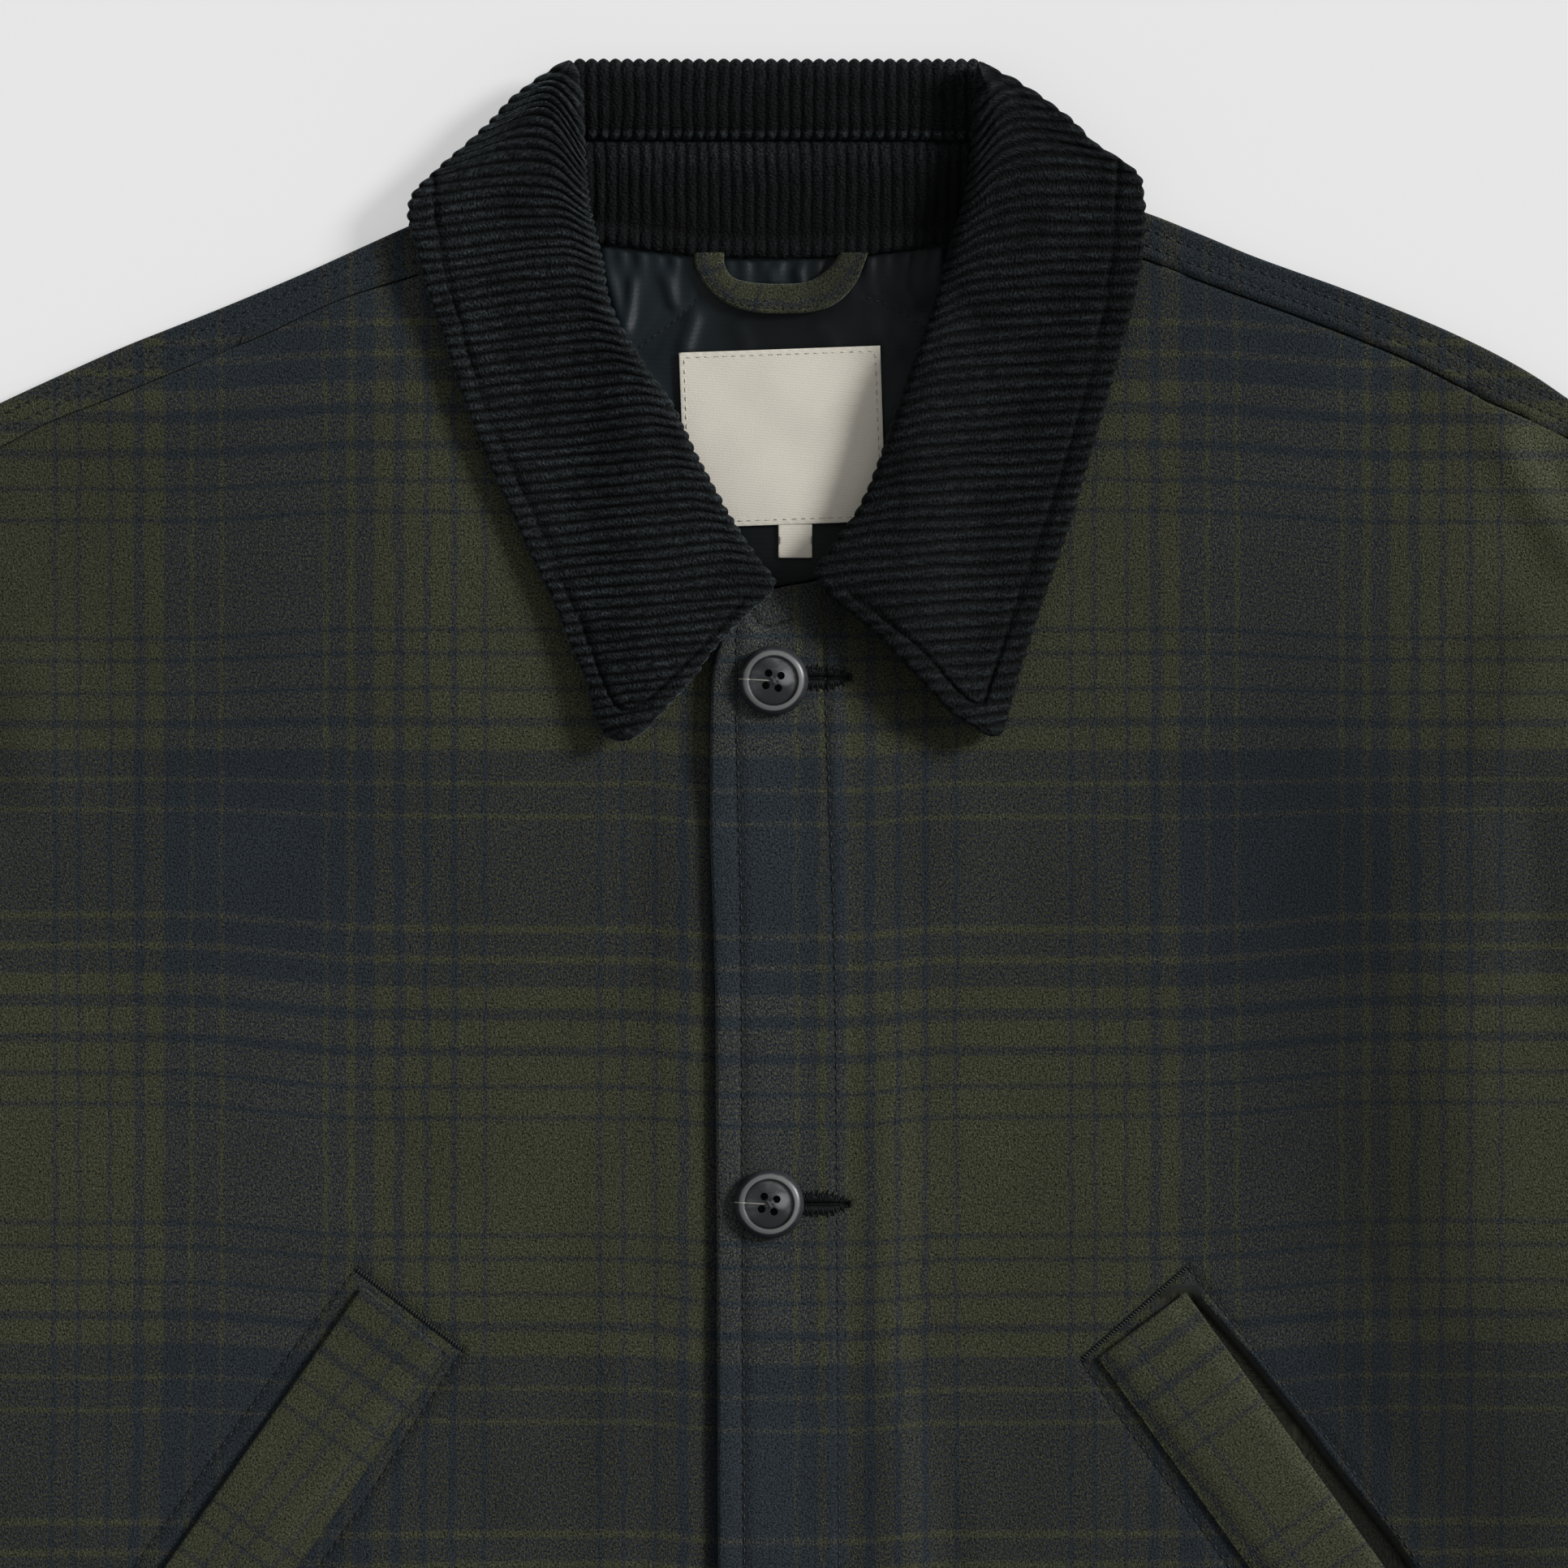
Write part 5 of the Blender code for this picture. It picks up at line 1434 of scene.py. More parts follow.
# Back of the collar: the fall above the seam, the stand below it
collarValues = {
    "relief": 0.27,
    "scallop": 0.55,
    "uneven": 0.16,
    "beadHeight": 2.8,
    "beadRelief": 1.8,
    # painted shade between the wales, on the fall, its bead row and the stand
    "valleyTone": 0.62,
    "beadValleyTone": 0.25,
    "standValleyTone": 0.45,
    "fallHalf": 66.0,
    "fallWander": 0.35,
    "standHalf": 63.5,
    "standWander": 0.45,
    # painted light at the fall's right end, painted shade at the stand's right end: gain, x where it
    # starts, x over which it fades
    "fallRight": (1.8, 46.0, 10.0),
    "standRight": (0.62, 22.0, 26.0),
    # share of the height above (or below) the seam, and painted light and shade there: light on the
    # fold's top and on the bead row above the seam, shade between them; on the stand, light below the
    # seam fading mostly to shade lower down
    "fallPaintedLight": [(0.0, 1.05), (0.105, 1.05), (0.128, 0.20), (0.16, 0.30), (0.3, 0.34), (0.7, 0.38),
                 (0.88, 0.56), (1.0, 0.80)],
    "standPaintedLight": [(0.0, 0.95), (0.14, 0.84), (0.32, 0.50), (0.55, 0.34), (0.75, 0.24), (0.9, 0.42),
                  (1.1, 0.55)],
    "wales": 36,
    "rowsPerWale": 9,
    "seamY": 24.0,
    # distance above the seam and height, from the seam up to the folded edge and under it
    "fallLow": [(-0.05, 3.6), (0.25, 5.2), (0.7, 6.5), (1.5, 7.15), (2.4, 6.75), (3.1, 5.7), (4.2, 6.1)],
    "fallHigh": [(0.25, 6.3), (0.45, 6.7), (0.65, 7.0), (0.80, 6.8), (0.90, 6.1), (0.955, 5.2),
                 (0.985, 4.3), (1.0, 3.3), (0.985, 1.8), (0.95, 0.7), (0.90, 0.0)],
    "fold": [(62.0, 48.75), (71.0, 43.0), (80.0, 36.5), (89.0, 28.5), (98.0, 20.5), (103.0, 15.0)],
    "wingX": (66.6, 71.0, 80.0, 89.0, 98.0, 103.0),
    "wingLow": 11.5,
    # distance below the seam and height, then distance above the neck seam and height
    "standHigh": [(-0.05, 3.3), (0.35, 4.9), (1.2, 5.9), (2.4, 6.35), (4.5, 6.5), (7.0, 6.4),
                  (10.0, 6.1), (13.0, 5.7), (16.0, 5.3), (19.0, 4.9)],
    "standLow": [(8.5, 4.4), (6.3, 4.1), (5.2, 4.0), (4.2, 4.7), (2.9, 5.4), (1.4, 5.6), (0.1, 5.5),
                 (-0.8, 5.1), (-1.3, 4.6), (-1.0, 4.1), (0.0, 3.8)],
}


def ridgeRows(half):
    phase = np.linspace(0.0, collarValues["wales"],
                        collarValues["wales"] * collarValues["rowsPerWale"] + 1)
    x = -half + 2.0 * half * phase / collarValues["wales"]
    return x, ridgeHeight(phase)


def makeFall(name, node):
    values = collarValues
    x, ridge = ridgeRows(values["fallHalf"])
    wings = np.array(collarValues["wingX"])
    xs = np.concatenate([-wings[::-1], x, wings])
    ridges = np.concatenate([np.full(len(wings), 0.5), ridge, np.full(len(wings), 0.5)])
    isWing = np.abs(xs) > values["fallHalf"] + 0.05
    low = np.where(isWing, collarValues["wingLow"], collarValues["seamY"])
    top = np.interp(np.abs(xs), *np.array(collarValues["fold"]).T)
    rings, cloths, shades = [], [], []

    def addColumn(y, z, upWeight, outWeight):
        swing = 2.0 * ridges - 1.0
        wander = values["fallWander"] * softNoise(np.column_stack([xs * 0.0 + y, xs * 0.6]), 9.0, 51)
        uneven = values["uneven"] * softNoise(np.column_stack([xs, y]), 1.7, 52)
        isBead = np.mean(y - low) < values["beadHeight"]
        bead = 1.0 + values["beadRelief"] * isBead
        zs = z + (values["relief"] * swing * bead + uneven * ridges) * upWeight
        rings.append(np.column_stack([xs + wander * ~isWing,
                                      y + values["scallop"] * swing * outWeight, zs]))
        cloths.append(np.column_stack([y, xs]))
        # painted light and shade of the fall
        tone = tableAt(values["fallPaintedLight"], np.clip((y - low) / (top - low), 0.0, 1.0))
        gain, start, fade = values["fallRight"]
        tone = np.minimum(tone * mix(1.0, gain, smooth((xs - start) / fade)), 1.05)
        valley = values["beadValleyTone"] if isBead else values["valleyTone"]
        shades.append(tone * mix(0.3, mix(valley, 1.0, ridges), max(upWeight, outWeight)))

    room = top - low
    for away, z in collarValues["fallLow"]:
        weight = smooth((z - 3.5) / 2.5)
        addColumn(low + np.minimum(away, 0.15 * room), np.full(len(xs), z), float(weight), 0.0)
    for share, z in collarValues["fallHigh"]:
        out = float(smooth((share - 0.9) / 0.08)) if z > 1.0 else 0.0
        start = np.minimum(4.2 / np.maximum(room, 1.0), 0.3)
        addColumn(low + room * mix(start, 1.0, share), np.full(len(xs), z),
                  1.0 if z > 4.0 else 0.3 * float(z > 1.0), out)
    for share in (0.6, 0.3, 0.0):
        addColumn(low - 0.05 + room * 0.88 * share, np.zeros(len(xs)), 0.0, 0.0)
    return standIn(loftRings(name, rings, corduroyBack, cloths, shades), node)


def makeStand(name, node):
    values = collarValues
    xs, ridges = ridgeRows(values["standHalf"])
    low = tableAt(backNeck, np.abs(xs)) + 0.4
    seam = collarValues["seamY"]
    rings, cloths, shades = [], [], []

    def addColumn(y, z, weight):
        relief = values["relief"] * (2.0 * ridges - 1.0)
        wander = softNoise(np.column_stack([xs * 0.0 + np.mean(y), xs * 0.5]), 9.0, 55)
        wander = values["standWander"] * wander
        uneven = values["uneven"] * softNoise(np.column_stack([xs, y]), 1.7, 56)
        rings.append(np.column_stack([xs + wander * weight, y, z + (relief + uneven) * weight]))
        cloths.append(np.column_stack([y, xs]))
        # painted light and shade of the stand
        tone = tableAt(values["standPaintedLight"], (seam - y) / (seam - low))
        gain, start, fade = values["standRight"]
        tone = tone * mix(1.0, gain, smooth((xs - start) / fade))
        shades.append(tone * mix(0.3, mix(values["standValleyTone"], 1.0, ridges), weight))

    for away, z in collarValues["standHigh"]:
        addColumn(np.full(len(xs), seam - away), np.full(len(xs), z), float(smooth((z - 3.5) / 1.6)))
    for away, z in collarValues["standLow"]:
        addColumn(low + away, np.full(len(xs), z), 1.0 if z > 4.3 else 0.3)
    for share in (0.0, 0.4, 0.8, 1.0):
        addColumn(mix(low + 0.1, np.full(len(xs), seam + 0.05), share), np.zeros(len(xs)), 0.0)
    return standIn(loftRings(name, rings, corduroyBack, cloths, shades), node)


collarFall = makeFall("collarFall", "collar_turned_back")
collarStand = makeStand("collarStand", "collar_stand")
print("collar back made")

# Lining inside the neck, with gathers under the neck seam
liningValues = {
    "under": 2.5,
    "top": 3.3,
    "least": 2.9,
    "gathers": 0.9,
    "gatherReach": 5.5,
    "uneven": 0.25,
    "groove": (0.5, 0.7),
    # painted shade under the loop and at the upper right: share of light kept
    "middleLight": 0.3,
    "rightLight": 0.35,
    "folds": [
        (-53.0, -12.0, -46.0, -40.0, 2.6, 1.6), (-44.0, -14.0, -46.0, -36.0, 1.8, 1.3),
        (-35.0, -14.0, -31.0, -30.0, 2.2, 1.5), (-28.0, -18.0, -44.0, -48.0, 2.8, -0.7),
        (-24.0, -26.0, -30.0, -44.0, 2.6, 1.4), (-14.0, -30.0, -8.0, -42.0, 3.0, 0.6),
        (10.0, -30.0, 20.0, -42.0, 3.2, 0.5), (30.0, -22.0, 48.0, -36.0, 1.4, -1.2),
        (36.0, -16.0, 44.0, -30.0, 3.0, 0.8), (26.0, -30.0, 40.0, -44.0, 3.0, 0.7),
        (-2.0, -14.0, -2.0, -21.0, 1.6, 0.9), (6.0, -14.0, 8.0, -22.0, 1.6, 0.8),
        (-50.0, -38.0, -34.0, -62.0, 4.0, 0.8), (44.0, -44.0, 34.0, -66.0, 4.0, 0.7),
    ],
    "seams": [[(-23.8, -23.8), (-31.0, -31.0), (-43.0, -40.0)],
              [(27.0, -23.8), (36.0, -27.5), (43.8, -32.5), (49.0, -38.0)]],
}


def liningTop(points):
    x, y = points[:, 0], points[:, 1]
    seamY = tableAt(backNeck, np.abs(x)) - 0.8
    below = np.clip(seamY - y, 0.0, None)
    wave = (np.sin(x * 1.15 + 1.3 * softNoise(points, 9.0, 61)) * 0.6
            + np.sin(x * 0.63 + 2.0) * 0.5 + 0.3)
    gather = (liningValues["gathers"] * wave * np.exp(-below / liningValues["gatherReach"])
              * smooth(below / 2.5))
    height = liningValues["top"] + np.maximum(gather, -0.3) + foldHeights(points, liningValues["folds"])
    height += liningValues["uneven"] * softNoise(points, 11.0, 62)
    height -= seamGrooves(points, [curveThrough(s, 3.0) for s in liningValues["seams"]],
                          *liningValues["groove"])
    return np.maximum(height, liningValues["least"])


def liningShade(points):
    # painted shade under the loop and at the upper right
    middle = np.exp(-((points[:, 0] - 8.0) / 30.0) ** 4) * smooth((-points[:, 1] - 20.0) / 10.0)
    right = smooth(points[:, 0] / 18.0) * smooth((points[:, 1] + 34.0) / 10.0)
    return (mix(1.0, liningValues["middleLight"], middle)
            * mix(1.0, liningValues["rightLight"], right))


liningPiece = clothPanel("liningPiece", nodeOutline("neck_lining", 1.5), liningTop,
                         lambda p: np.full(len(p), liningValues["under"]), lambda p: p * 1.0,
                         liningSatin, spacing=0.9, edge=0.3, shadeAt=liningShade)
standIn(liningPiece, "neck_lining")

# Bare label and tab
labelOutline = nodeOutline("neck_label", 1.0)
labelValues = {
    "centre": (1.8, -67.2),
    "half": (31.0, 27.0),
    "turn": 2.0,
    "low": 3.9,
    "cloth": 0.7,
    "uneven": 0.28,
    "pucker": 0.10,
    "corner": 0.5,
    "stitchInset": 1.6,
    "tabTop": 4.25,
    "tabUnder": 3.6,
    "tabUneven": 0.12,
    "tabTuck": 2.0,
}
labelTurn = math.radians(labelValues["turn"])
labelAlong = np.array([math.cos(labelTurn), math.sin(labelTurn)])
labelUp = np.array([-math.sin(labelTurn), math.cos(labelTurn)])


def labelPlace(points):
    away = points - np.array(labelValues["centre"])
    return away @ labelAlong, away @ labelUp


def labelLow(points):
    a, b = labelPlace(points)
    halfW, halfH = labelValues["half"]
    edgeAway = np.minimum(halfW - np.abs(a), halfH - np.abs(b))
    pucker = (labelValues["pucker"] * np.sin(a * 1.9) * np.sin(b * 1.9 + 1.0)
              * np.exp(-edgeAway / 2.5))
    corner = labelValues["corner"] * smooth((a / halfW) ** 2 + (b / halfH) ** 2 - 1.2)
    return labelValues["low"] + labelValues["uneven"] * softNoise(points, 17.0, 71) + pucker + corner


labelPiece = clothPanel("labelPiece", labelOutline, lambda p: labelLow(p) + labelValues["cloth"],
                        labelLow, lambda p: np.column_stack(labelPlace(p)), labelSatin,
                        spacing=1.0, edge=0.25)
standIn(labelPiece, "neck_label")


def tabTop(points):
    return labelValues["tabTop"] + labelValues["tabUneven"] * softNoise(points, 5.0, 72)


# the upper end of the tab is tucked under the label
tabOutline = nodeOutline("label_tab", 0.8)
tabOutline[:, 1] += labelValues["tabTuck"] * (tabOutline[:, 1] > np.mean(tabOutline[:, 1]))
tabPiece = clothPanel("tabPiece", tabOutline, tabTop,
                      lambda p: np.full(len(p), labelValues["tabUnder"]), lambda p: p * 1.0,
                      labelSatin, spacing=0.8, edge=0.22)
standIn(tabPiece, "label_tab")
print("lining and labels made")

# Hanging loop: outer and inner edge from its left end to its right end
loopValues = {
    "outer": [(-25.2, -10.5), (-25.0, -14.5), (-21.5, -21.0), (-15.0, -26.3), (-7.0, -28.8),
              (2.0, -29.3), (12.0, -28.6), (19.0, -25.6), (24.5, -19.5), (28.2, -10.5)],
    "inner": [(-16.0, -10.5), (-16.2, -13.0), (-15.4, -15.6), (-13.0, -18.4), (-7.0, -19.8),
              (1.0, -20.2), (9.0, -19.6), (14.6, -16.6), (18.0, -13.2), (19.5, -10.5)],
    "low": 3.9,
    "arch": 0.9,
    "thick": 1.8,
    "width": 9.0,
    "length": 70.0,
    "seamAt": 0.17,
    "seamDepth": 0.35,
    # share of light kept at the right end, painted shade
    "rightLight": 0.5,
    "phase": (78.0, 86.0),
}


def makeLoop(name, node):
    values = loopValues
    shares = np.linspace(0.0, 1.0, 70)
    outer = linePlaces(curveThrough(values["outer"], 1.0), shares)
    inner = linePlaces(curveThrough(values["inner"], 1.0), shares)
    low = values["low"] + values["arch"] * np.sin(np.pi * shares)
    thick = values["thick"]
    topShares = np.concatenate([[0.0], np.linspace(0.04, 0.96, 14), [1.0]])
    rings, cloths = [], []

    def addRow(share, z):
        flat = mix(outer, inner, share)
        rings.append(np.column_stack([flat, z]))
        cloths.append(np.column_stack([0.0 * shares + share * values["width"] + values["phase"][0],
                                       shares * values["length"] + values["phase"][1]]))

    for share in topShares:
        swell = 0.5 * thick * (1.0 + math.sqrt(max(0.0, 1.0 - (2.0 * share - 1.0) ** 6)))
        groove = values["seamDepth"] * math.exp(-((share - values["seamAt"]) / 0.05) ** 2)
        uneven = 0.15 * softNoise(mix(outer, inner, share), 5.0, 81)
        addRow(share, low + swell - groove + uneven + 0.3 * share)
    for share in (0.85, 0.5, 0.15):
        addRow(share, low)
    # painted shade towards the right end of the loop
    light = mix(1.0, values["rightLight"], smooth((shares - 0.45) / 0.4))
    made = loftRings(name, rings, wool, cloths, [light] * len(rings))
    standIn(made, node)
    return mix(outer, inner, values["seamAt"]), low + thick, made


loopSeam, loopSeamZ, loopPiece = makeLoop("loopPiece", "hanging_loop")
print("loop made")

# Buttons: radius and height of the turned profile
buttonValues = {
    "profile": [(0.0, 0.0), (8.2, 0.0), (9.6, 0.3), (10.4, 0.8), (10.7, 1.3), (10.62, 1.65),
                (10.3, 2.1), (9.85, 2.5), (9.35, 2.86), (8.8, 3.12), (8.35, 3.26), (7.95, 3.3),
                (7.65, 3.05), (7.45, 2.5), (7.3, 2.25), (7.1, 2.25), (6.8, 2.4), (6.0, 2.64),
                (4.6, 2.86), (3.2, 2.96), (0.0, 3.02)],
    "faceTop": 2.9,
    "segments": 96,
    "holeOffset": 1.95,
    "holeRadius": 1.2,
    "holeTurn": -12.0,
    "centres": [(-1.0, -142.25), (-2.3, -303.0), (-2.3, -463.75), (-2.3, -624.5)],
    "floor": 10.0,
    "dark": (0.0090, 0.0105, 0.0130),
    "grey": (0.075, 0.078, 0.080),
    # colours of a painted highlight spot on the face, a painted highlight ring at the crest, and painted
    # shade in the groove
    "pale": (0.17, 0.175, 0.18),
    "ringHighlightColour": (0.14, 0.14, 0.14),
    "grooveShadeColour": (0.002, 0.002, 0.003),
    "scratch": (0.42, 0.40, 0.34),
    "crest": 8.45,
    "groove": 7.3,
    "rim": 9.1,
    # centre of the painted highlight spot on the face
    "paintedLightSpot": (3.7, 0.9),
    "roughness": (0.33, 0.6),
    "specular": (0.45, 0.12),
    "threadRadius": 0.2,
    "threadReach": (0.17, 0.83),
    "threadOffsets": (-0.28, 0.0, 0.28),
}


def buttonFinish(name, seed):
    values = buttonValues
    made, tree, shader = newFinish(name)
    place = tree.nodes.new("ShaderNodeTexCoord").outputs["Object"]
    x, y = (times(tree, part, 1.0 / mm) for part in axes(tree, place))
    radius = calc(tree, "SQRT", plus(tree, times(tree, x, x), times(tree, y, y)))
    swirl = noise(tree, joined(tree, times(tree, x, 0.22), times(tree, y, 0.5), seed * 3.7), 1.0, 4.0,
                  0.65)
    # marbling at the left, and a painted light patch at the upper right, where the light falls
    leftPatch = times(tree, spread(tree, x, -9.0, -1.0, 1.0, 0.0, True),
                      spread(tree, calc(tree, "ABSOLUTE", y), 2.0, 6.5, 1.0, 0.0, True))
    paintedLitPatch = spread(tree, plus(tree, x, y), 0.5, 7.0, 0.0, 1.0, True)
    marbleAndPaintedLight = times(tree, spread(tree, swirl, 0.35, 0.65, 0.35, 1.0, True),
                   calc(tree, "MAXIMUM", leftPatch, paintedLitPatch))
    streak = spread(tree, offFrom(tree, y, times(tree, x, -0.05)), 0.02, 0.20, 1.0, 0.0, True)
    streak = times(tree, streak, spread(tree, x, -2.0, 0.0, 1.0, 0.0))
    # a painted highlight ring at the crest, a painted highlight spot on the face and painted shade in
    # the groove
    ringHighlight = spread(tree, offFrom(tree, radius, values["crest"]), 0.45, 0.95, 0.8, 0.0, True)
    spotX, spotY = values["paintedLightSpot"]
    paintedLightSpot = plus(tree, calc(tree, "POWER", calc(tree, "SUBTRACT", x, spotX), 2.0),
                    calc(tree, "POWER", calc(tree, "SUBTRACT", y, spotY), 2.0))
    paintedLightSpot = spread(tree, paintedLightSpot, 0.5, 9.0, 0.75, 0.0, True)
    groove = spread(tree, offFrom(tree, radius, values["groove"]), 0.05, 0.35, 0.8, 0.0, True)
    rim = spread(tree, radius, values["rim"] + 0.1, values["rim"] + 0.7, 0.0, 0.8, True)
    base = mixColours(tree, marbleAndPaintedLight, values["dark"], values["grey"])
    for share, colour in ((paintedLightSpot, "pale"), (ringHighlight, "ringHighlightColour"), (groove, "grooveShadeColour"),
                          (rim, "dark"), (times(tree, streak, 0.8), "scratch")):
        base = mixColours(tree, share, base, values[colour])
    scratches = noise(tree, place, 2500.0, 2.0)
    roughness = spread(tree, radius, values["rim"], values["rim"] + 0.7, *values["roughness"], True)
    specular = spread(tree, radius, values["rim"], values["rim"] + 0.5, *values["specular"], True)
    setFinish(tree, shader, base, bump(tree, scratches, 0.00001, 0.15), roughness, specular)
    shader.inputs["Coat Weight"].default_value = 0.03
    shader.inputs["Coat Roughness"].default_value = 0.15
    return made


def makeButton(index, centre):
    segments = buttonValues["segments"]
    profile = buttonValues["profile"]
    points = [(0.0, 0.0, 0.0)]
    for r, z in profile[1:-1]:
        for s in range(segments):
            turn = 2.0 * math.pi * s / segments
            points.append((r * math.cos(turn), r * math.sin(turn), z))
    points.append((0.0, 0.0, profile[-1][1]))
    faces = []
    rings = len(profile) - 2
    for s in range(segments):
        t = (s + 1) % segments
        faces.append((0, 1 + t, 1 + s))
        for r in range(rings - 1):
            a = 1 + r * segments
            faces.append((a + s, a + t, a + segments + t, a + segments + s))
        last = 1 + (rings - 1) * segments
        faces.append((last + s, last + t, len(points) - 1))
    mesh = bpy.data.meshes.new("button" + str(index))
    mesh.from_pydata([(x * mm, y * mm, z * mm) for x, y, z in points], [], faces)
    turnOut(mesh)
    made = bpy.data.objects.new("button" + str(index), mesh)
    scene.collection.objects.link(made)
    holes = bmesh.new()
    turn = math.radians(buttonValues["holeTurn"])
    places = []
    for a, b in ((-1, -1), (1, -1), (1, 1), (-1, 1)):
        x = buttonValues["holeOffset"] * (a * math.cos(turn) - b * math.sin(turn))
        y = buttonValues["holeOffset"] * (a * math.sin(turn) + b * math.cos(turn))
        places.append((x, y))
        hole = bmesh.ops.create_cone(holes, cap_ends=True, segments=24,
                                     radius1=buttonValues["holeRadius"] * mm,
                                     radius2=buttonValues["holeRadius"] * mm, depth=8.0 * mm)
        bmesh.ops.translate(holes, verts=hole["verts"], vec=Vector((x * mm, y * mm, 0.0012)))
    cutMesh = bpy.data.meshes.new("holes")
    holes.to_mesh(cutMesh)
    holes.free()
    cutter = bpy.data.objects.new("holes", cutMesh)
    scene.collection.objects.link(cutter)
    cut = made.modifiers.new("holes", "BOOLEAN")
    cut.object = cutter
    cut.solver = "EXACT"
    bpy.context.view_layer.update()
    solid = bpy.data.meshes.new_from_object(made.evaluated_get(bpy.context.evaluated_depsgraph_get()))
    made.modifiers.clear()
    made.data = solid
    bpy.data.objects.remove(cutter)
    solid.shade_smooth()
    solid.set_sharp_from_angle(angle=math.radians(38.0))
    solid.materials.clear()
    solid.materials.append(buttonFinish("button_resin_" + str(index), index))
    made.location = (centre[0] * mm, centre[1] * mm + shiftY, buttonValues["floor"] * mm)
    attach(made, "root")
    standIn(made, "button_" + str(index))
    sewOn(centre, places)


def sewOn(centre, places):
    # crossed threads from hole to hole, over the face
    shares = np.linspace(0.0, 1.0, 9)
    reach = mix(*buttonValues["threadReach"], shares)[:, None]
    for a, b in ((0, 2), (1, 3)):
        start, end = np.array(places[a]), np.array(places[b])
        side = np.array([-(end - start)[1], (end - start)[0]])
        side = side / np.linalg.norm(side)
        for k, offset in enumerate(buttonValues["threadOffsets"]):
            flat = np.array(centre) + mix(start, end, reach) + side * offset
            lift = np.sin(np.pi * shares) * (0.25 + 0.2 * (a == 1)) + (0.1 if k == 1 else 0.0)
            z = buttonValues["floor"] + buttonValues["faceTop"] + lift
            z -= 1.6 * (np.abs(shares - 0.5) > 0.49)
            addTube(buttonThreads, np.column_stack([flat, z]),
                    np.full(len(shares), buttonValues["threadRadius"]))


buttonThreads = newStore()
for k, centre in enumerate(buttonValues["centres"]):
    makeButton(k + 1, centre)
threadPiece("buttonThreads", buttonThreads, greyThread)
print("buttons made")

# Stitching, with a dense bar at the upper end of each pocket
barValues = {"count": 44, "half": 0.75, "slant": 0.2, "radius": 0.34}
bodyThreads = newStore()
for line in bandLines + [hemLines[1], neckStitch] + frameLines[1][:2]:
    stitchRow(bodyThreads, line, upperTop)
for line in [hemLines[-1]] + frameLines[-1][:2]:
    stitchRow(bodyThreads, line, underTop)
for line in stripLines:
    stitchRow(bodyThreads, line, backTop)
for side, surface in ((1, upperTop), (-1, underTop)):
    line = np.array(pocketFrames[side]["end"])
    run = (line[1] - line[0]) / np.linalg.norm(line[1] - line[0])
    normal = np.array([-run[1], run[0]])
    across = normal * barValues["half"] - run * barValues["slant"]
    for share in np.linspace(0.0, 1.0, barValues["count"]):
        middle = mix(line[0], line[1], share)
        ends = np.array([middle - across, middle + across])
        stitchRow(bodyThreads, ends, surface, length=1.6, gap=0.0, radius=barValues["radius"],
                  lift=0.25)
bodyThreadPiece = threadPiece("bodyThreads", bodyThreads, darkThread)

# Buttonholes: dense bars of thread along both sides of a slit, shorter towards its far end
holeValues = {
    "startX": 6.5,
    "endX": 21.5,
    "count": 44,
    "reach": 3.1,
    "endReach": 1.3,
    "narrowFrom": 16.0,
    "narrowOver": 5.5,
    "radius": 0.26,
    "barRows": (-0.8, -0.3, 0.3, 0.8),
}
holeThreads = newStore()
for y in holeRows:
    xs = np.linspace(holeValues["startX"], holeValues["endX"], holeValues["count"])
    for k, x in enumerate(xs):
        far = max(0.0, (x - holeValues["narrowFrom"]) / holeValues["narrowOver"])
        reach = mix(holeValues["reach"], holeValues["endReach"], far)
        reach += 0.8 * math.sin(k * 2.7) + 0.5 * math.sin(k * 4.9)
        for sign in (-1, 1):
            ends = np.array([(x, y + sign * 0.25), (x + 0.25, y + sign * reach)])
            stitchRow(holeThreads, ends, upperTop, length=abs(reach) - 0.2, gap=0.05,
                      radius=holeValues["radius"], lift=0.3)
    for offset in holeValues["barRows"]:
        ends = np.array([(holeValues["endX"] + 0.4, y + offset), (holeValues["endX"] + 1.8, y + offset)])
        stitchRow(holeThreads, ends, upperTop, length=1.3, gap=0.05, radius=holeValues["radius"],
                  lift=0.3)
holeThreadPiece = threadPiece("buttonholeThreads", holeThreads, holeThread)

liningThreads = newStore()
for line in liningValues["seams"]:
    stitchRow(liningThreads, curveThrough(line, 2.0), liningTop, length=1.6, gap=0.9, radius=0.16)
liningThreadPiece = threadPiece("liningThreads", liningThreads, darkThread)

labelThreads = newStore()
halfSize = np.array(labelValues["half"]) - labelValues["stitchInset"]
frameLine = [np.array(labelValues["centre"]) + a * halfSize[0] * labelAlong
             + b * halfSize[1] * labelUp
             for a, b in ((-1, 1), (1, 1), (1, -1), (-1, -1), (-1, 1))]
for start, end in zip(frameLine[:-1], frameLine[1:]):
    stitchRow(labelThreads, np.array([start, end]), lambda p: labelLow(p) + labelValues["cloth"],
              length=1.9, gap=0.8, radius=0.14, lift=0.02)
labelThreadPiece = threadPiece("labelThreads", labelThreads, palestThread)
loopThreads = newStore()
stitchRow(loopThreads, loopSeam, lambda p: np.interp(p[:, 0], np.sort(loopSeam[:, 0]),
                                                     loopSeamZ[np.argsort(loopSeam[:, 0])]) - 0.3,
          length=1.8, gap=0.8, radius=0.16)
loopThreadPiece = threadPiece("loopThreads", loopThreads, darkThread)
print("stitching made")

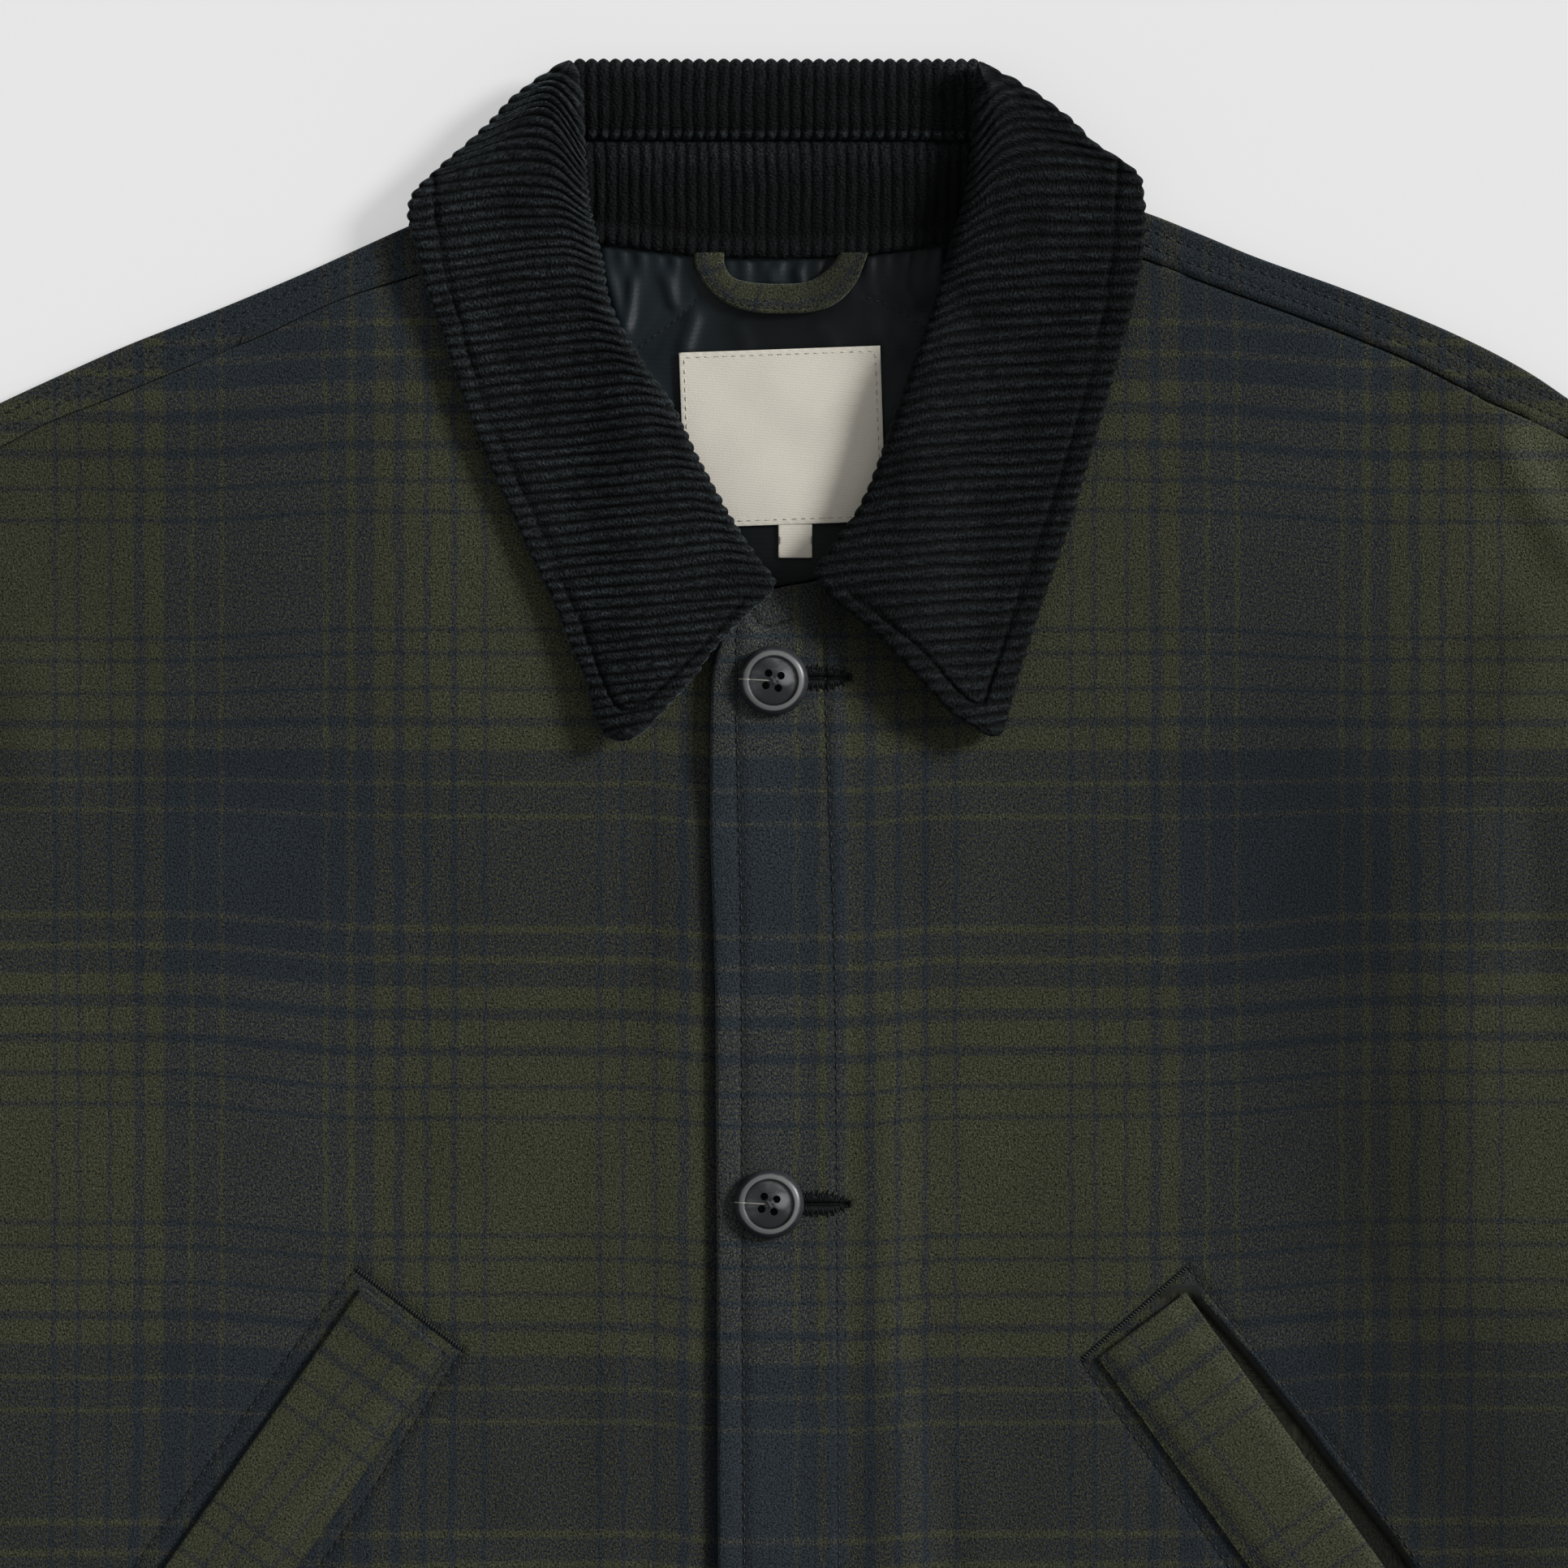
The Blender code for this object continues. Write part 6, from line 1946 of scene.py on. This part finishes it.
# Floor, light and camera. The floor glows a little, so that the shadow on it stays faint
stageValues = {
    "floor": (0.32, 0.32, 0.32),
    "floorGlow": 0.474,
    "floorHalf": 4.0,
    "floorLow": -0.0003,
    "sky": 0.39,
    "key": 4.03,
    "keyTurn": 22.0,
    "keyRise": 28.0,
    "keySpread": 16.0,
    "cameraHeight": 4.0,
    "viewWidth": 0.483,
    "viewCentre": (0.00225, 0.151525),
}
floorMesh = bpy.data.meshes.new("floor")
half, low = stageValues["floorHalf"], stageValues["floorLow"]
floorMesh.from_pydata([(a * half, b * half, low) for a, b in ((-1, -1), (1, -1), (1, 1), (-1, 1))],
                      [], [(0, 1, 2, 3)])
floorFinish, floorTree, floorShader = newFinish("floor_paper")
paper = noise(floorTree, floorTree.nodes.new("ShaderNodeTexCoord").outputs["Object"], 3.0, 2.0)
tone = spread(floorTree, paper, 0.3, 0.7, 0.997, 1.003)
floorColour = mixColours(floorTree, 0.0, stageValues["floor"], stageValues["floor"])
floorTree.links.new(scaled(floorTree, floorColour, tone), floorShader.inputs["Base Color"])
floorShader.inputs["Roughness"].default_value = 0.9
floorShader.inputs["Specular IOR Level"].default_value = 0.1
floorShader.inputs["Emission Color"].default_value = (1.0, 1.0, 1.0, 1.0)
floorShader.inputs["Emission Strength"].default_value = stageValues["floorGlow"]
floorMesh.materials.append(floorFinish)
floor = bpy.data.objects.new("floor", floorMesh)
scene.collection.objects.link(floor)

world = bpy.data.worlds.new("studio")
scene.world = world
world.use_nodes = True
sky = world.node_tree.nodes["Background"]
sky.inputs["Color"].default_value = (1.0, 1.0, 1.0, 1.0)
sky.inputs["Strength"].default_value = stageValues["sky"]


def addKey():
    # a large far light, low on the right
    data = bpy.data.lights.new("keyLight", "SUN")
    data.angle = math.radians(stageValues["keySpread"])
    data.energy = stageValues["key"]
    light = bpy.data.objects.new("keyLight", data)
    scene.collection.objects.link(light)
    turn, rise = math.radians(stageValues["keyTurn"]), math.radians(stageValues["keyRise"])
    towards = Vector((math.cos(turn) * math.cos(rise), math.sin(turn) * math.cos(rise),
                      math.sin(rise)))
    light.rotation_mode = "QUATERNION"
    light.rotation_quaternion = towards.to_track_quat("Z", "Y")


addKey()
cameraData = bpy.data.cameras.new("camera")
cameraData.sensor_width = 36.0
cameraData.lens = 36.0 * stageValues["cameraHeight"] / stageValues["viewWidth"]
camera = bpy.data.objects.new("camera", cameraData)
camera.location = (*stageValues["viewCentre"], stageValues["cameraHeight"])
scene.collection.objects.link(camera)
scene.camera = camera
scene.view_settings.view_transform = "Standard"
scene.view_settings.look = "None"
print("stage made")
